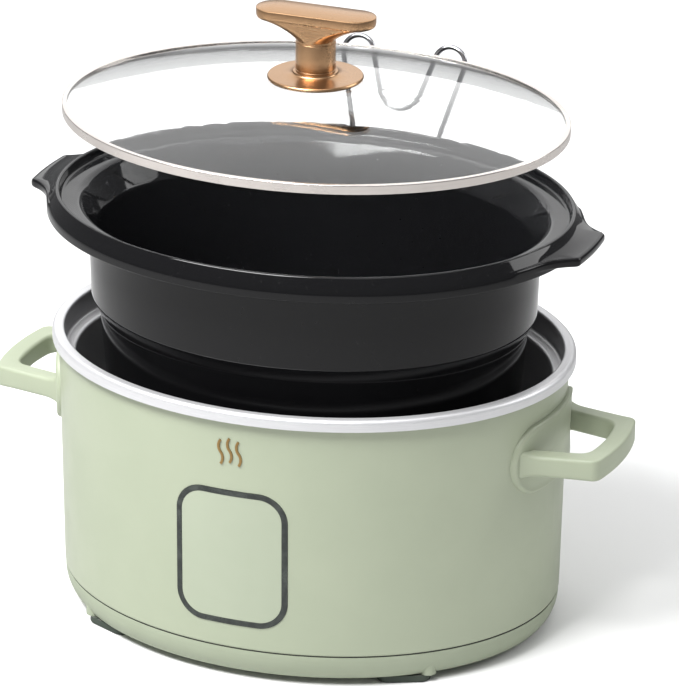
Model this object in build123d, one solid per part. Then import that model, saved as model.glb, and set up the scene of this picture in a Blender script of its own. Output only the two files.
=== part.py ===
"""Oval slow cooker: heated base, glazed crock, glass lid and a plug-in lid rest.

Every oval piece is a turned profile narrowed in Y by one ratio, so the base, crock
and lid stay parallel. The crock and the lid are drawn lifted, one above the other.
"""
from math import cos, radians, sin, sqrt
import os

from build123d import *

# --- overall ---------------------------------------------------------------------------
RIM_A = 182.0  # half-length of the metal rim, the widest part of the base
OVAL = 0.835  # width of the base and the crock over their length
RIM_TOP = 196.2  # top of the metal rim above the table
CROCK_LIFT = 82.5  # crock drawn this far above its seat
LID_LIFT = 61.0  # lid drawn this far above its seat in the crock
SEAT_GAP = 0.3  # between faces of bodies that come apart
FIT_GAP = 0.15  # round a piece that drops into a cut-out
LAP_GAP = 0.05  # between curved faces that lap each other
SHEET = 1.2  # steel and aluminium sheet
SCREW_R = 1.9
SCREW_HEAD_R = 3.6
SCREW_HEAD_H = 2.2
SCREW_GAP = 0.05  # round a screw in its hole

# --- outer shell and pan ---------------------------------------------------------------
SHELL_INSET = 4.5  # rim edge stands out this far past the shell
SHELL_TAPER = 3.0  # shell is this much shorter at each end at the seam
SEAM_Z = 23.5  # seam between the shell and the pan
SEAL_H = 0.8  # seal in the seam
SEAL_INSET = 0.9  # seal sits back from the shell's face
SHELL_BEND = 1.5  # bend into the lower flange
FLANGE_W = 13.0  # shell's turned-in lower flange
PAN_WALL = 2.0
PAN_INSET = 0.4  # pan's upper edge sits back from the shell's face
PAN_TUCK = 5.6  # pan is this much shorter at each end at its lower edge
PAN_LIP = 3.0  # upright edge of the pan, under the seam
PAN_BELLY = 0.26  # share of the tuck already taken at the height of the belly
PAN_BELLY_RISE = 7.5
PAN_EDGE_RISE = 0.8
PAN_EDGE_SLOPE = 3.0
PAN_HEEL = 5.0  # inner floor ends this far inside the lower edge
PAN_HEEL_DROP = 6.0
PAN_HEEL_IN = 1.4
PAN_SCREW_X = 122.0
PAN_SCREW_INSET = 8.0  # from the shell's lower edge to the screws
PAN_BOSS_WALL = 2.0
HEAD_GAP = 0.4  # round a screw's head in its recess
PAN_SCREW_SEAT = 8.0  # depth of the recesses that hold the pan screws' heads
VENT_X = 84.0
VENT_PITCH = 9.0
VENT_WIDTH = 3.2
VENT_LENGTH = 40.0
FOOT_H = 5.0
FOOT_LENGTH = 36.0
FOOT_WIDTH = 18.0
FOOT_X = 106.0
FOOT_TURN = 25.0  # degrees, so that the feet follow the oval
FOOT_INSET = 11.0  # foot's centre inside the pan's lower edge
FOOT_STUD_R = 3.0
FOOT_STUD_UP = 2.0  # studs stand this far through the pan
FOOT_ROUND = 7.0
FOOT_EDGE = 0.9

# --- heating liner ---------------------------------------------------------------------
RIM_BAND = 8.6  # flat of the rolled rim, seen from above
RIM_SKIRT = 7.9  # rolled edge hangs this far below the rim's top
RIM_ROUND = 3.2
RIM_INNER_ROUND = 1.6
STEP_DROP = 16.5  # step inside the liner, below the rim
STEP_WIDTH = 8.0
STEP_FALL = 1.5  # step slopes inwards by this much
STEP_ROUND = 2.2
LINER_FLOOR = 44.0  # top of the liner's floor above the table
LINER_TAPER = 4.0
LINER_ROUND = 16.0

# --- heater and sensors ----------------------------------------------------------------
BAND_LOW = 60.0
BAND_HIGH = 84.0
BAND_THICK = 2.0
BAND_GAP = 0.2
BAND_OPENING = 14.0  # between the band's two ends, at the back
SLEEVE_THICK = 2.2
CLAMP_THICK = 3.0
CLAMP_MARGIN = 2.0  # clamp is this much shorter than the band at each edge
CLAMP_GROOVE = 4.0
FUSE_X = 34.0
FUSE_Z = 100.0
FUSE_R = 2.1
FUSE_LENGTH = 16.0
FUSE_GAP = 0.3  # fuse off the liner's wall
FUSE_CLIP = (6.0, 6.2, 4.6)
SENSOR_X = 46.0
SENSOR_R = 9.0
SENSOR_H = 5.0
STRAP_WIDTH = 12.0
STRAP_MARGIN = 5.0  # strap's legs past the sensor on each side
TIE_R = 3.0
TIE_FLANGE_R = 14.0
TIE_FLANGE_H = 1.6
TIE_HEAD_R = 6.5
TIE_HEAD_H = 3.0
TIE_END_GAP = 3.0  # bolt ends this far under the liner
TIE_BOSS_R = 6.5
TIE_BOSS_H = 12.0
NUT_FLATS = 10.0
NUT_H = 5.0

# --- handles ---------------------------------------------------------------------------
HANDLE_Z = 145.5  # middle of the grip above the table
HANDLE_H = 15.0  # grip and arms, top to bottom
HANDLE_REACH = 42.0  # grip's outer face past the rim's end
ARM_WIDTH = 13.6
ARM_ROOT = 50.0  # arms are drawn from this far inside the shell, then trimmed
ARM_SPREAD = 103.0  # over both arms at the shell
GRIP_SPREAD = 82.0  # over both arms at the grip
GRIP_BOW = 5.0  # grip's outer face stands out this much at its middle
GRIP_CORNER = 5.0
GRIP_INNER_CORNER = 8.0
GRIP_EDGE = 2.6
PLATE_LENGTH = 112.0
PLATE_HEIGHT = 51.0
PLATE_THICK = 3.4
BACKING_LENGTH = 104.0
BACKING_HEIGHT = 24.0
BACKING_THICK = 1.6
PAD_R = 4.6
HANDLE_SCREW_BITE = 9.0

# --- control panel and emblem ----------------------------------------------------------
PANEL_Z = 89.5
PANEL_WIDTH = 79.5  # over the dark outline
PANEL_HEIGHT = 98.0
PANEL_ROUND = 20.0
OUTLINE_WIDTH = 4.0
PANEL_THICK = 2.6
PANEL_PROUD = 0.5
PANEL_SETBACK = 0.2  # touch face below the ring round it
TRAY_LIP = 5.0  # panel tray laps the shell's cut-out by this much
TRAY_WALL = 1.4
BOARD_WIDTH = 58.0
BOARD_HEIGHT = 44.0
BOARD_Z = 110.0
BOARD_THICK = 1.6
BOARD_GAP = 0.5
BOARD_SCREW_R = 1.0
BOARD_SCREW_HEAD = (1.9, 1.0)  # radius and height
BOARD_SCREW_INSET = 4.0
EMBLEM_Z = 167.0
EMBLEM_HEIGHT = 17.0
EMBLEM_PITCH = 6.4
EMBLEM_SWAY = 1.5
EMBLEM_STROKE = 1.7
EMBLEM_DROP = 1.6  # outer lines sit lower than the middle one
EMBLEM_PROUD = 0.9

# --- power board -----------------------------------------------------------------------
POWER_X = -80.0
POWER_LENGTH = 84.0
POWER_WIDTH = 52.0
POST_H = 7.0
POST_R = 3.2
POST_INSET = 5.0
POST_SCREW_HEAD = (2.4, 1.4)  # radius and height
POST_SCREW_LENGTH = 6.0
RELAY = (19.0, 15.5, 15.0)
RELAY_AT = (-22.0, 8.0)  # from the board's middle, as for the pieces below
CORE = (24.0, 20.0, 17.0)
COIL = (14.0, 28.0, 12.0)
CORE_AT = (12.0, 6.0)
CAPACITOR_Y = -16.0
CAPACITORS = ((-12.0, 5.0, 12.0), (2.0, 4.0, 9.0))  # place, radius and height
TERMINALS = (14.0, 9.0, 10.0)
TERMINALS_AT = (24.0, -14.0)
TERMINAL_CELL = (4.0, 5.0, 5.0)
TERMINAL_PITCH = 7.0

# --- cord inlet ------------------------------------------------------------------------
GLAND_Z = 36.0
GLAND_BORE_R = 3.6
GLAND_R = 6.0
GLAND_FLANGE_R = 9.5
GLAND_FLANGE_H = 2.6
GLAND_OUT = 9.0  # gland stands out of the shell
GLAND_IN = 6.0  # and reaches inside it
GLAND_NUT_FLATS = 16.0
GLAND_NUT_H = 3.0
GLAND_EDGE = 1.2
GLAND_NUT_GAP = 0.6  # nut stays clear of the shell's curve

# --- crock -----------------------------------------------------------------------------
CROCK_OVERHANG = 3.0  # crock's rim past the metal rim at each end
CROCK_CREST = 16.3  # crest of the rim above its underside
CREST_INSET = 7.0  # crest inside the rim's outer edge
CREST_WIDTH = 2.6
LEDGE_DROP = 6.8  # lid ledge below the crest
LEDGE_WIDTH = 13.5
CROCK_WALL = 7.0
CROCK_FLOOR = 9.0
CROCK_BODY_INSET = 29.0  # body's face inside the rim's outer edge
CROCK_LEAN = 1.5  # body narrows by this much down to its step
CROCK_STEP_DROP = 57.0  # rounded step round the body, below the rim's underside
CROCK_STEP = 6.0
CROCK_STEP_FALL = 11.0  # the step slopes in over this height
CROCK_SHOULDER = 9.0  # wall inside starts this far below the rim's underside
CROCK_FOOT_WIDTH = 24.0  # foot ring
CROCK_FOOT_RISE = 2.0
CROCK_FOOT_SLOPE = 3.0
CREST_SLOPE = 0.6
RIM_SIDE = 6.5  # height of the rim's upright side
CROCK_FOOT_TAPER = 7.0
CROCK_DEPTH = 147.0  # rim's underside to the bottom
CROCK_ROUND = 14.0
CROCK_RADII = (24, 9, 6, 2.0, 0.9, 1.3, 4.0, 1.4, 6, 4, 5, CROCK_ROUND, 1, 1)  # floor to foot
LUG_REACH = 12.5  # lug past the rim's outer edge
LUG_HALF = 26.0
LUG_FLARE = 66.0
LUG_BOW = 1.5
LUG_LOW = 3.2
LUG_HIGH = 9.6
LUG_EDGE = 2.2
LUG_NECK = 11.0  # past the lug's corner, where it has drawn in
LUG_NECK_OUT = 3.2  # to this far from the rim
LUG_ROOT = 30.0  # lug is drawn from this far inside the rim
LUG_ROOM = 4.0  # and trimmed this far outside the ledge

# --- lid -------------------------------------------------------------------------------
LID_GAP = 1.4  # lid's edge to the crock's crest at each end
LID_OVAL = 0.822
GLASS = 4.0
DOME_RISE = 24.0
BAND_HEIGHT = 6.6
BAND_LIP = 3.4
BAND_SHEET = 0.8
BAND_EDGE = 0.7
DOME_MARGIN = 1.0  # flat of the glass inside the band
FLANGE_R = 32.5
FLANGE_H = 5.0
FLANGE_LIP = 0.8
FLANGE_LIP_Z = (0.4, 2.0)  # lip's lower and upper edge over the glass's crown
FLANGE_SWEEP_Z = 2.9  # height of the sweep halfway in
FLANGE_UNDER = 4.0  # drawn down past the glass, then shaped to it
STEM_R = 13.5
STEM_H = 22.0
STEM_GROOVE = 0.5
STEM_GROOVE_IN = 1.2  # from each end of the stem
STEM_FILLET = 0.8
STEM_BORE = 14.0
GRIP_LENGTH = 84.0
GRIP_WIDTH = 29.0
GRIP_FLARE_H = 12.5
GRIP_SIDE_H = 8.0
GRIP_CHAMFER = 1.6
SPIGOT_R = 6.0
SPIGOT_H = 9.0
KNOB_SCREW_R = 2.5
KNOB_SCREW_HEAD = (5.0, 2.8)  # radius and height
KNOB_SCREW_BITE = 12.0
KNOB_SEAL_R = 12.0
KNOB_SEAL_H = 1.2
KNOB_WASHER_H = 1.4

# --- lid rest --------------------------------------------------------------------------
WIRE_R = 1.8
REST_X = -2.0
REST_CLEARANCE = 2.9  # between the crock's rim and the wire behind it
REST_PITCH = 28.0  # between the two legs in their sockets
REST_INSERT = 15.0  # legs' length inside the socket
REST_STRAIGHT = 26.0  # legs stay upright to this height above the rim
REST_BEND = 91.0  # the wire leans back above this height over the rim
REST_LEAN = 15.9  # degrees
REST_BEND_HALF = 31.5  # half the distance between the legs at the bend
REST_BEND_R = 25.0
HUMP_OUT = 16.0  # outer corner of a hump past the bend
HUMP_OUT_RISE = 61.9
HUMP_IN = 4.9  # inner corner of a hump inside the bend
HUMP_IN_RISE = 68.3
DIP_DROP = 18.1  # corner of the dip below the bend
HUMP_R = 10.9
DIP_R = 15.5
SOCKET_WIDTH = 48.0
SOCKET_H = 24.0
SOCKET_WALL = 5.0
SOCKET_DEPTH = 40.0  # drawn into the shell by this much, then trimmed
SOCKET_ROUND = 6.0
SOCKET_EDGE = 1.2
SOCKET_FLOOR_GAP = 1.0  # under each leg
SOCKET_SCREW_HOLE = 9.0
SOCKET_SCREW_BITE = 8.0
SOCKET_SCREW_GAP = 0.25  # heads stay clear of the shell's curve
SOCKET_GAP = 0.15  # round each leg
SOCKET_DROP = 2.0  # below the rolled rim's edge
SOCKET_SCREW_X = 5.0
SOCKET_SCREW_RISE = 6.0

# --- worked out ------------------------------------------------------------------------
FAR = 300.0
SHELL_TOP_A = RIM_A - SHELL_INSET
SHELL_LOW_A = SHELL_TOP_A - SHELL_TAPER
SHELL_TOP = RIM_TOP - SHEET - SEAT_GAP
LINER_A = RIM_A - RIM_BAND
LINER_STEP_Z = RIM_TOP - STEP_DROP
WELL_A = LINER_A - STEP_WIDTH
WELL_LOW_A = WELL_A - LINER_TAPER
LINER_UNDER = LINER_FLOOR - SHEET
PAN_TOP = SEAM_Z - SEAL_H
PAN_TOP_A = SHELL_LOW_A - PAN_INSET
PAN_LOW_A = PAN_TOP_A - PAN_TUCK
PAN_FLOOR = FOOT_H + PAN_WALL
CROCK_A = RIM_A + CROCK_OVERHANG
CROCK_BODY_A = CROCK_A - CROCK_BODY_INSET
CROCK_Z = RIM_TOP + SEAT_GAP + CROCK_LIFT
CREST_A = CROCK_A - CREST_INSET
LEDGE_A = CREST_A - CREST_WIDTH
LEDGE_Z = CROCK_Z + CROCK_CREST - LEDGE_DROP
LID_A = LEDGE_A - LID_GAP
LID_Z = LEDGE_Z + SEAT_GAP + LID_LIFT
GLASS_TOP = LID_Z + BAND_HEIGHT - BAND_SHEET  # glass's upper face inside the rim band
GLASS_EDGE_A = LID_A - BAND_SHEET
DOME_A = LID_A - BAND_LIP - DOME_MARGIN
DOME_TOP = GLASS_TOP + DOME_RISE
STEM_Z = DOME_TOP + FLANGE_H
GRIP_Z = STEM_Z + STEM_H
WIRE_Y = CROCK_A * OVAL + REST_CLEARANCE + WIRE_R
SOCKET_TOP = RIM_TOP - RIM_SKIRT - SOCKET_DROP


def shell_a(z):
    """Half-length of the shell's outer face at height z."""
    return SHELL_LOW_A + SHELL_TAPER * (z - SEAM_Z) / (SHELL_TOP - SEAM_Z)


def well_a(z):
    """Half-length of the liner's outer face at height z, below its step."""
    return WELL_LOW_A + SHEET + LINER_TAPER * (z - LINER_FLOOR) / (LINER_STEP_Z - LINER_FLOOR)


def oval_y(a, x, ratio=OVAL):
    """Y on an oval of half-length a, at x."""
    return a * ratio * sqrt(1 - (x / a) ** 2)


def oval_x(a, y, ratio=OVAL):
    """X on an oval of half-length a, at y."""
    return a * sqrt(1 - (y / (a * ratio)) ** 2)


def outward(x, y, z, ratio=OVAL):
    """Place whose Z points straight out of an oval wall at (x, y), its X staying level."""
    out = Vector(x, y / ratio**2, 0).normalized()
    return Plane(origin=(x, y, z), x_dir=(-out.Y, out.X, 0), z_dir=out).location


def spun(face):
    """Turn a profile drawn in X and Z about the upright axis."""
    return revolve(Plane.XZ * face, Axis.Z)


def oval(shape, ratio=OVAL):
    """Narrow a round piece in Y."""
    return scale(shape, by=(1, ratio, 1))


def turned(face, ratio=OVAL):
    """Turn a profile and narrow it to an oval."""
    return oval(spun(face), ratio)


def skin(low, high, inside, outside):
    """A round layer between two distances out from the shell's outer face."""
    return spun(
        Polygon(
            (shell_a(low) + inside, low),
            (shell_a(high) + inside, high),
            (shell_a(high) + outside, high),
            (shell_a(low) + outside, low),
            align=None,
        )
    )


def sheet_wall(points, radii, side):
    """A sheet along a filleted line, laid on one side of its travel."""
    line = FilletPolyline(*points, radius=radii)
    return make_face(offset(line, amount=SHEET, side=side, closed=True))


def on_front(sketch):
    """Push a sketch drawn in X and Z out through the front wall."""
    return extrude(Plane.XZ * sketch, FAR)


def on_end(sketch, side):
    """Push a sketch out through one end of a round piece that is yet to be narrowed."""
    return extrude(Plane.YZ * scale(Sketch() + sketch, by=(1 / OVAL, 1, 1)), side * FAR)


def backwards(radius, length=FAR):
    """A cylinder from the origin along +Y."""
    return Rot(-90, 0, 0) * Cylinder(
        radius, length, align=(Align.CENTER, Align.CENTER, Align.MIN)
    )


def upright(radius, height):
    """A cylinder standing on the origin."""
    return Cylinder(radius, height, align=(Align.CENTER, Align.CENTER, Align.MIN))


def screw(length, radius=SCREW_R, head_r=SCREW_HEAD_R, head_h=SCREW_HEAD_H):
    """A pan-head screw along +Z, its head's bearing face at the origin."""
    head = Pos(0, 0, -head_h) * upright(head_r, head_h)
    head = fillet(head.edges().group_by(Axis.Z)[0], head_h * 0.35)
    slot = Pos(0, 0, -head_h) * (
        Box(head_r, head_r * 0.25, head_h * 0.6) + Box(head_r * 0.25, head_r, head_h * 0.6)
    )
    return head - slot + upright(radius, length)


# --- places that several pieces share --------------------------------------------------
def pan_screw_places():
    """Centres of the four screws between the pan and the shell's flange."""
    y = oval_y(SHELL_LOW_A - PAN_SCREW_INSET, PAN_SCREW_X)
    return [(sx * PAN_SCREW_X, sy * y) for sx in (-1, 1) for sy in (-1, 1)]


def foot_places():
    """Place of each foot under the pan, turned to follow the oval."""
    y = oval_y(PAN_LOW_A, FOOT_X) - FOOT_INSET
    return [
        Pos(sx * FOOT_X, sy * y, 0) * Rot(0, 0, -sx * sy * FOOT_TURN)
        for sx in (-1, 1)
        for sy in (-1, 1)
    ]


def post_places():
    """Centres of the pan's posts under the power board."""
    x = POWER_LENGTH / 2 - POST_INSET
    y = POWER_WIDTH / 2 - POST_INSET
    return [(POWER_X + sx * x, sy * y) for sx in (-1, 1) for sy in (-1, 1)]


def handle_screw_places(side):
    """Place of each screw of one handle, on the flat pads of its backing strip."""
    y = ARM_SPREAD / 2 - ARM_WIDTH / 2
    a = shell_a(HANDLE_Z - PAD_R) - SHEET - BACKING_THICK
    x = oval_x(a, y + PAD_R) - LAP_GAP
    return [Pos(side * x, sy * y, HANDLE_Z) * Rot(0, side * 90, 0) for sy in (-1, 1)]


def handle_screw_length():
    """From the backing's pad through the shell and into the handle's arm."""
    y = ARM_SPREAD / 2 - ARM_WIDTH / 2
    seat = abs(handle_screw_places(1)[0].position.X)
    return oval_x(shell_a(HANDLE_Z), y) - seat + HANDLE_SCREW_BITE


def board_screw_places():
    """X and Z of the control board's screws."""
    x = BOARD_WIDTH / 2 - BOARD_SCREW_INSET
    z = BOARD_HEIGHT / 2 - BOARD_SCREW_INSET
    return [(sx * x, BOARD_Z + sz * z) for sx in (-1, 1) for sz in (-1, 1)]


def socket_screw_places():
    """X and Z of the screws that hold the lid rest's socket."""
    z = SOCKET_TOP - SOCKET_H + SOCKET_SCREW_RISE
    return [(REST_X - SOCKET_SCREW_X, z), (REST_X + SOCKET_SCREW_X, z)]


def leg_places():
    """X of the lid rest's two legs."""
    return [REST_X - REST_PITCH / 2, REST_X + REST_PITCH / 2]


# --- base: shell, liner, pan -----------------------------------------------------------
def outer_shell():
    """Painted steel wall with a turned-in lower flange and its cut-outs."""
    shell = spun(
        sheet_wall(
            [
                (SHELL_TOP_A, SHELL_TOP),
                (SHELL_LOW_A, SEAM_Z),
                (SHELL_LOW_A - FLANGE_W, SEAM_Z),
            ],
            [SHELL_BEND],
            Side.RIGHT,
        )
    )
    hole_r = SCREW_R + SCREW_GAP
    shell -= on_front(rounded(0))
    for x, y in pan_screw_places():
        shell -= Pos(x, y / OVAL, SEAM_Z) * extrude(Ellipse(hole_r, hole_r / OVAL), 3 * SHEET)
    for side in (-1, 1):
        for place in handle_screw_places(side):
            shell -= on_end(Pos(place.position.Y, HANDLE_Z) * Circle(hole_r), side)
    for x, z in socket_screw_places():
        shell -= Pos(x, 0, z) * backwards(hole_r)
    shell -= Pos(0, 0, GLAND_Z) * backwards(GLAND_R + SCREW_GAP)
    return oval(shell)


def heating_liner():
    """Aluminium well with its rim rolled over the shell and a step for stiffness."""
    return turned(
        sheet_wall(
            [
                (RIM_A, RIM_TOP - RIM_SKIRT),
                (RIM_A, RIM_TOP),
                (LINER_A, RIM_TOP),
                (LINER_A, LINER_STEP_Z),
                (WELL_A, LINER_STEP_Z - STEP_FALL),
                (WELL_LOW_A, LINER_FLOOR),
                (0, LINER_FLOOR),
            ],
            [RIM_ROUND, RIM_INNER_ROUND, STEP_ROUND, STEP_ROUND, LINER_ROUND],
            Side.LEFT,
        )
    )


def base_pan():
    """Moulded pan under the shell, with screw bosses, vents and board posts."""
    outline = [
        Line((PAN_TOP_A, PAN_TOP), (PAN_TOP_A, PAN_TOP - PAN_LIP)),
        ThreePointArc(
            (PAN_TOP_A, PAN_TOP - PAN_LIP),
            (PAN_TOP_A - PAN_TUCK * PAN_BELLY, FOOT_H + PAN_BELLY_RISE),
            (PAN_LOW_A, FOOT_H + PAN_EDGE_RISE),
        ),
        Polyline(
            (PAN_LOW_A, FOOT_H + PAN_EDGE_RISE),
            (PAN_LOW_A - PAN_EDGE_SLOPE, FOOT_H),
            (0, FOOT_H),
            (0, PAN_FLOOR),
            (PAN_LOW_A - PAN_HEEL, PAN_FLOOR),
            (PAN_TOP_A - PAN_WALL - PAN_HEEL_IN, PAN_TOP - PAN_HEEL_DROP),
            (PAN_TOP_A - PAN_WALL, PAN_TOP),
            (PAN_TOP_A, PAN_TOP),
        ),
    ]
    pan = turned(make_face(Curve() + outline))
    rise = PAN_TOP - FOOT_H
    for x, y in pan_screw_places():
        pan += Pos(x, y, FOOT_H) * upright(SCREW_HEAD_R + PAN_BOSS_WALL, rise)
        pan -= Pos(x, y, FOOT_H) * Cylinder(SCREW_HEAD_R + HEAD_GAP, 2 * PAN_SCREW_SEAT)
        pan -= Pos(x, y, FOOT_H) * upright(SCREW_R + SCREW_GAP, rise)
    for place in foot_places():
        for end in (-1, 1):
            pan -= place * Pos(end * FOOT_LENGTH / 4, 0, FOOT_H) * Cylinder(
                FOOT_STUD_R, 6 * PAN_WALL
            )
    for step in range(-2, 3):
        pan -= Pos(VENT_X + VENT_PITCH * step, 0, FOOT_H) * Box(VENT_WIDTH, VENT_LENGTH, 6 * PAN_WALL)
    for x, y in post_places():
        pan += Pos(x, y, PAN_FLOOR) * upright(POST_R, POST_H)
        pan -= Pos(x, y, PAN_FLOOR + 1) * upright(BOARD_SCREW_R + SCREW_GAP, POST_H)
    return pan - Pos(0, 0, FOOT_H) * Cylinder(TIE_R + SCREW_GAP, 6 * PAN_WALL)


def base_seal():
    """Soft dark seal in the seam between the shell and the pan."""
    outer = SHELL_LOW_A - SEAL_INSET
    seal = turned(Pos(outer - 2.2, SEAM_Z - SEAL_H / 2) * Rectangle(4.4, SEAL_H))
    for x, y in pan_screw_places():
        seal -= Pos(x, y, SEAM_Z) * Cylinder(SCREW_R + SCREW_GAP, 6)
    return seal


def feet():
    """Four pads that follow the pan's edge, with studs pressed into the pan."""
    pads = Part()
    outline = RectangleRounded(FOOT_LENGTH, FOOT_WIDTH, FOOT_ROUND)
    pad = extrude(outline, FOOT_H)
    pad = chamfer(pad.edges().group_by(Axis.Z)[0], FOOT_EDGE)
    for end in (-1, 1):
        pad += Pos(end * FOOT_LENGTH / 4, 0, FOOT_H) * upright(
            FOOT_STUD_R, PAN_WALL + FOOT_STUD_UP
        )
    for place in foot_places():
        pads += place * pad
    return pads


def pan_screws():
    """Four screws up through the pan's bosses into the shell's flange."""
    seat = FOOT_H + PAN_SCREW_SEAT
    length = SEAM_Z + 4 * SHEET - seat
    return Part() + [Pos(x, y, seat) * screw(length) for x, y in pan_screw_places()]


# --- base: handles ---------------------------------------------------------------------
def shell_core():
    """Everything inside the shell's outer face, for trimming what stands against it."""
    return turned(
        Polygon(
            (0, 0),
            (shell_a(0), 0),
            (shell_a(FAR), FAR),
            (0, FAR),
            align=None,
        )
    )


def handle_arms():
    """Two arms and a bowed grip, drawn towards +X."""
    root = SHELL_LOW_A - ARM_ROOT
    corner = RIM_A + HANDLE_REACH - GRIP_BOW
    slant = (ARM_SPREAD - GRIP_SPREAD) / 2 / (corner - oval_x(SHELL_TOP_A, ARM_SPREAD / 2))
    wide = GRIP_SPREAD / 2 + slant * (corner - root)
    outline = make_face(
        Polyline((corner, -GRIP_SPREAD / 2), (root, -wide), (root, wide), (corner, GRIP_SPREAD / 2))
        + ThreePointArc(
            (corner, GRIP_SPREAD / 2), (corner + GRIP_BOW, 0), (corner, -GRIP_SPREAD / 2)
        )
    )
    window = offset(outline, -ARM_WIDTH)
    outline = fillet(outline.vertices().group_by(Axis.X)[-1], GRIP_CORNER)
    window = fillet(window.vertices().group_by(Axis.X)[-1], GRIP_INNER_CORNER)
    arms = extrude(Pos(0, 0, HANDLE_Z - HANDLE_H / 2) * (outline - window), HANDLE_H)
    ends = arms.edges().group_by(Axis.Z)
    return fillet(ends[0] + ends[-1], GRIP_EDGE)


def handle(side):
    """Moulded handle: an obround plate on the shell, two arms and the grip."""
    low = HANDLE_Z - PLATE_HEIGHT
    high = HANDLE_Z + PLATE_HEIGHT
    outline = Pos(0, HANDLE_Z) * SlotOverall(PLATE_LENGTH, PLATE_HEIGHT)
    plate = oval(on_end(outline, side) & skin(low, high, 0, PLATE_THICK))
    arms = handle_arms() - shell_core()
    arms = Part() + [s for s in arms.solids() if s.center().X > SHELL_LOW_A]
    if side < 0:
        arms = mirror(arms, Plane.YZ)
    moulding = plate + arms
    for place in handle_screw_places(side):
        moulding -= place * upright(SCREW_R + SCREW_GAP, handle_screw_length() + 1)
    return moulding


def handle_backing(side):
    """Steel strip inside the shell with a flat pad under each screw's head."""
    outline = Pos(0, HANDLE_Z) * SlotOverall(BACKING_LENGTH, BACKING_HEIGHT)
    low = HANDLE_Z - BACKING_HEIGHT
    high = HANDLE_Z + BACKING_HEIGHT
    face = -SHEET - LAP_GAP
    strip = on_end(outline, side) & skin(low, high, face - BACKING_THICK, face)
    for place in handle_screw_places(side):
        centre = Pos(place.position.Y, HANDLE_Z)
        past_seat = Pos(place.position.X, 0, 0) * on_end(centre * Circle(PAD_R), side)
        strip += past_seat & skin(low, high, -PAD_R, face)
    for place in handle_screw_places(side):
        strip -= on_end(Pos(place.position.Y, HANDLE_Z) * Circle(SCREW_R + SCREW_GAP), side)
    return oval(strip)


def handle_screws():
    """Two screws for each handle."""
    screws = Part()
    for side in (-1, 1):
        for place in handle_screw_places(side):
            screws += place * screw(handle_screw_length())
    return screws


# --- base: control panel and emblem ----------------------------------------------------
def rounded(inset):
    """The panel's outline in X and Z, drawn in by a distance."""
    return Pos(0, PANEL_Z) * RectangleRounded(
        PANEL_WIDTH - 2 * inset, PANEL_HEIGHT - 2 * inset, PANEL_ROUND - inset
    )


def panel_skin(inside, outside):
    """A layer along the shell that is taller than the panel."""
    return skin(PANEL_Z - 0.6 * PANEL_HEIGHT, PANEL_Z + 0.6 * PANEL_HEIGHT, inside, outside)


def panel_outline():
    """Dark ring round the touch panel."""
    ring = rounded(FIT_GAP) - rounded(OUTLINE_WIDTH)
    return oval(on_front(ring) & panel_skin(-PANEL_THICK, PANEL_PROUD))


def touch_panel():
    """Touch-sensitive face inside the dark ring, following the shell."""
    face = rounded(OUTLINE_WIDTH + FIT_GAP)
    return oval(on_front(face) & panel_skin(-PANEL_THICK, PANEL_PROUD - PANEL_SETBACK))


def panel_tray():
    """Tray behind the shell that carries the panel, its ring and the board."""
    wall = -PANEL_THICK - TRAY_WALL
    back = on_front(rounded(-TRAY_LIP)) & panel_skin(wall, -SHEET - LAP_GAP)
    tray = back - (on_front(rounded(0)) & panel_skin(-PANEL_THICK - LAP_GAP, SHEET))
    for x, z in board_screw_places():
        tray -= Pos(x, -FAR, z) * backwards(BOARD_SCREW_R + SCREW_GAP)
    return oval(tray)


def board_y():
    """Y of the control board's front face, just clear of the tray's curve."""
    a = shell_a(BOARD_Z - BOARD_HEIGHT / 2) - PANEL_THICK - TRAY_WALL
    return -oval_y(a, BOARD_WIDTH / 2) + BOARD_GAP


def control_board():
    """Board behind the touch panel."""
    board = Pos(0, board_y() + BOARD_THICK / 2, BOARD_Z) * Box(BOARD_WIDTH, BOARD_THICK, BOARD_HEIGHT)
    for x, z in board_screw_places():
        board -= Pos(x, board_y() - 5, z) * backwards(BOARD_SCREW_R + SCREW_GAP, 10)
    return board


def board_screws():
    """Four small screws from the board into the tray."""
    screws = Part()
    length = BOARD_THICK + BOARD_GAP + TRAY_WALL
    for x, z in board_screw_places():
        place = Pos(x, board_y() + BOARD_THICK, z) * Rot(90, 0, 0)
        screws += place * screw(length, BOARD_SCREW_R, *BOARD_SCREW_HEAD)
    return screws


def front_emblem():
    """Three wavy lines of steam above the panel."""
    quarter = EMBLEM_HEIGHT / 2
    wave = ThreePointArc((0, -quarter), (EMBLEM_SWAY, -quarter / 2), (0, 0)) + ThreePointArc(
        (0, 0), (-EMBLEM_SWAY, quarter / 2), (0, quarter)
    )
    stroke = trace(wave, EMBLEM_STROKE)
    marks = Part()
    layer = skin(EMBLEM_Z - EMBLEM_HEIGHT, EMBLEM_Z + EMBLEM_HEIGHT, 0, EMBLEM_PROUD)
    for step in (-1, 0, 1):
        shift = -abs(step) * EMBLEM_DROP
        marks += on_front(Pos(step * EMBLEM_PITCH, EMBLEM_Z + shift) * stroke) & layer
    return oval(marks)


# --- base: heater, sensors and boards --------------------------------------------------
def round_well(inside, outside):
    """An oval layer round the liner over the heated height."""
    low = well_a(BAND_LOW)
    high = well_a(BAND_HIGH)
    layer = turned(
        Polygon(
            (low + inside, BAND_LOW),
            (high + inside, BAND_HIGH),
            (high + outside, BAND_HIGH),
            (low + outside, BAND_LOW),
            align=None,
        )
    )
    return layer - Pos(0, FAR / 2, (BAND_LOW + BAND_HIGH) / 2) * Box(BAND_OPENING, FAR, 60)


def heater_band():
    """Heating element in a flat metal band round the lower part of the liner."""
    return round_well(BAND_GAP, BAND_GAP + BAND_THICK)


def insulation_sleeve():
    """Glass-fibre sleeve over the heater band."""
    inside = BAND_GAP + BAND_THICK
    return round_well(inside, inside + SLEEVE_THICK)


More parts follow.
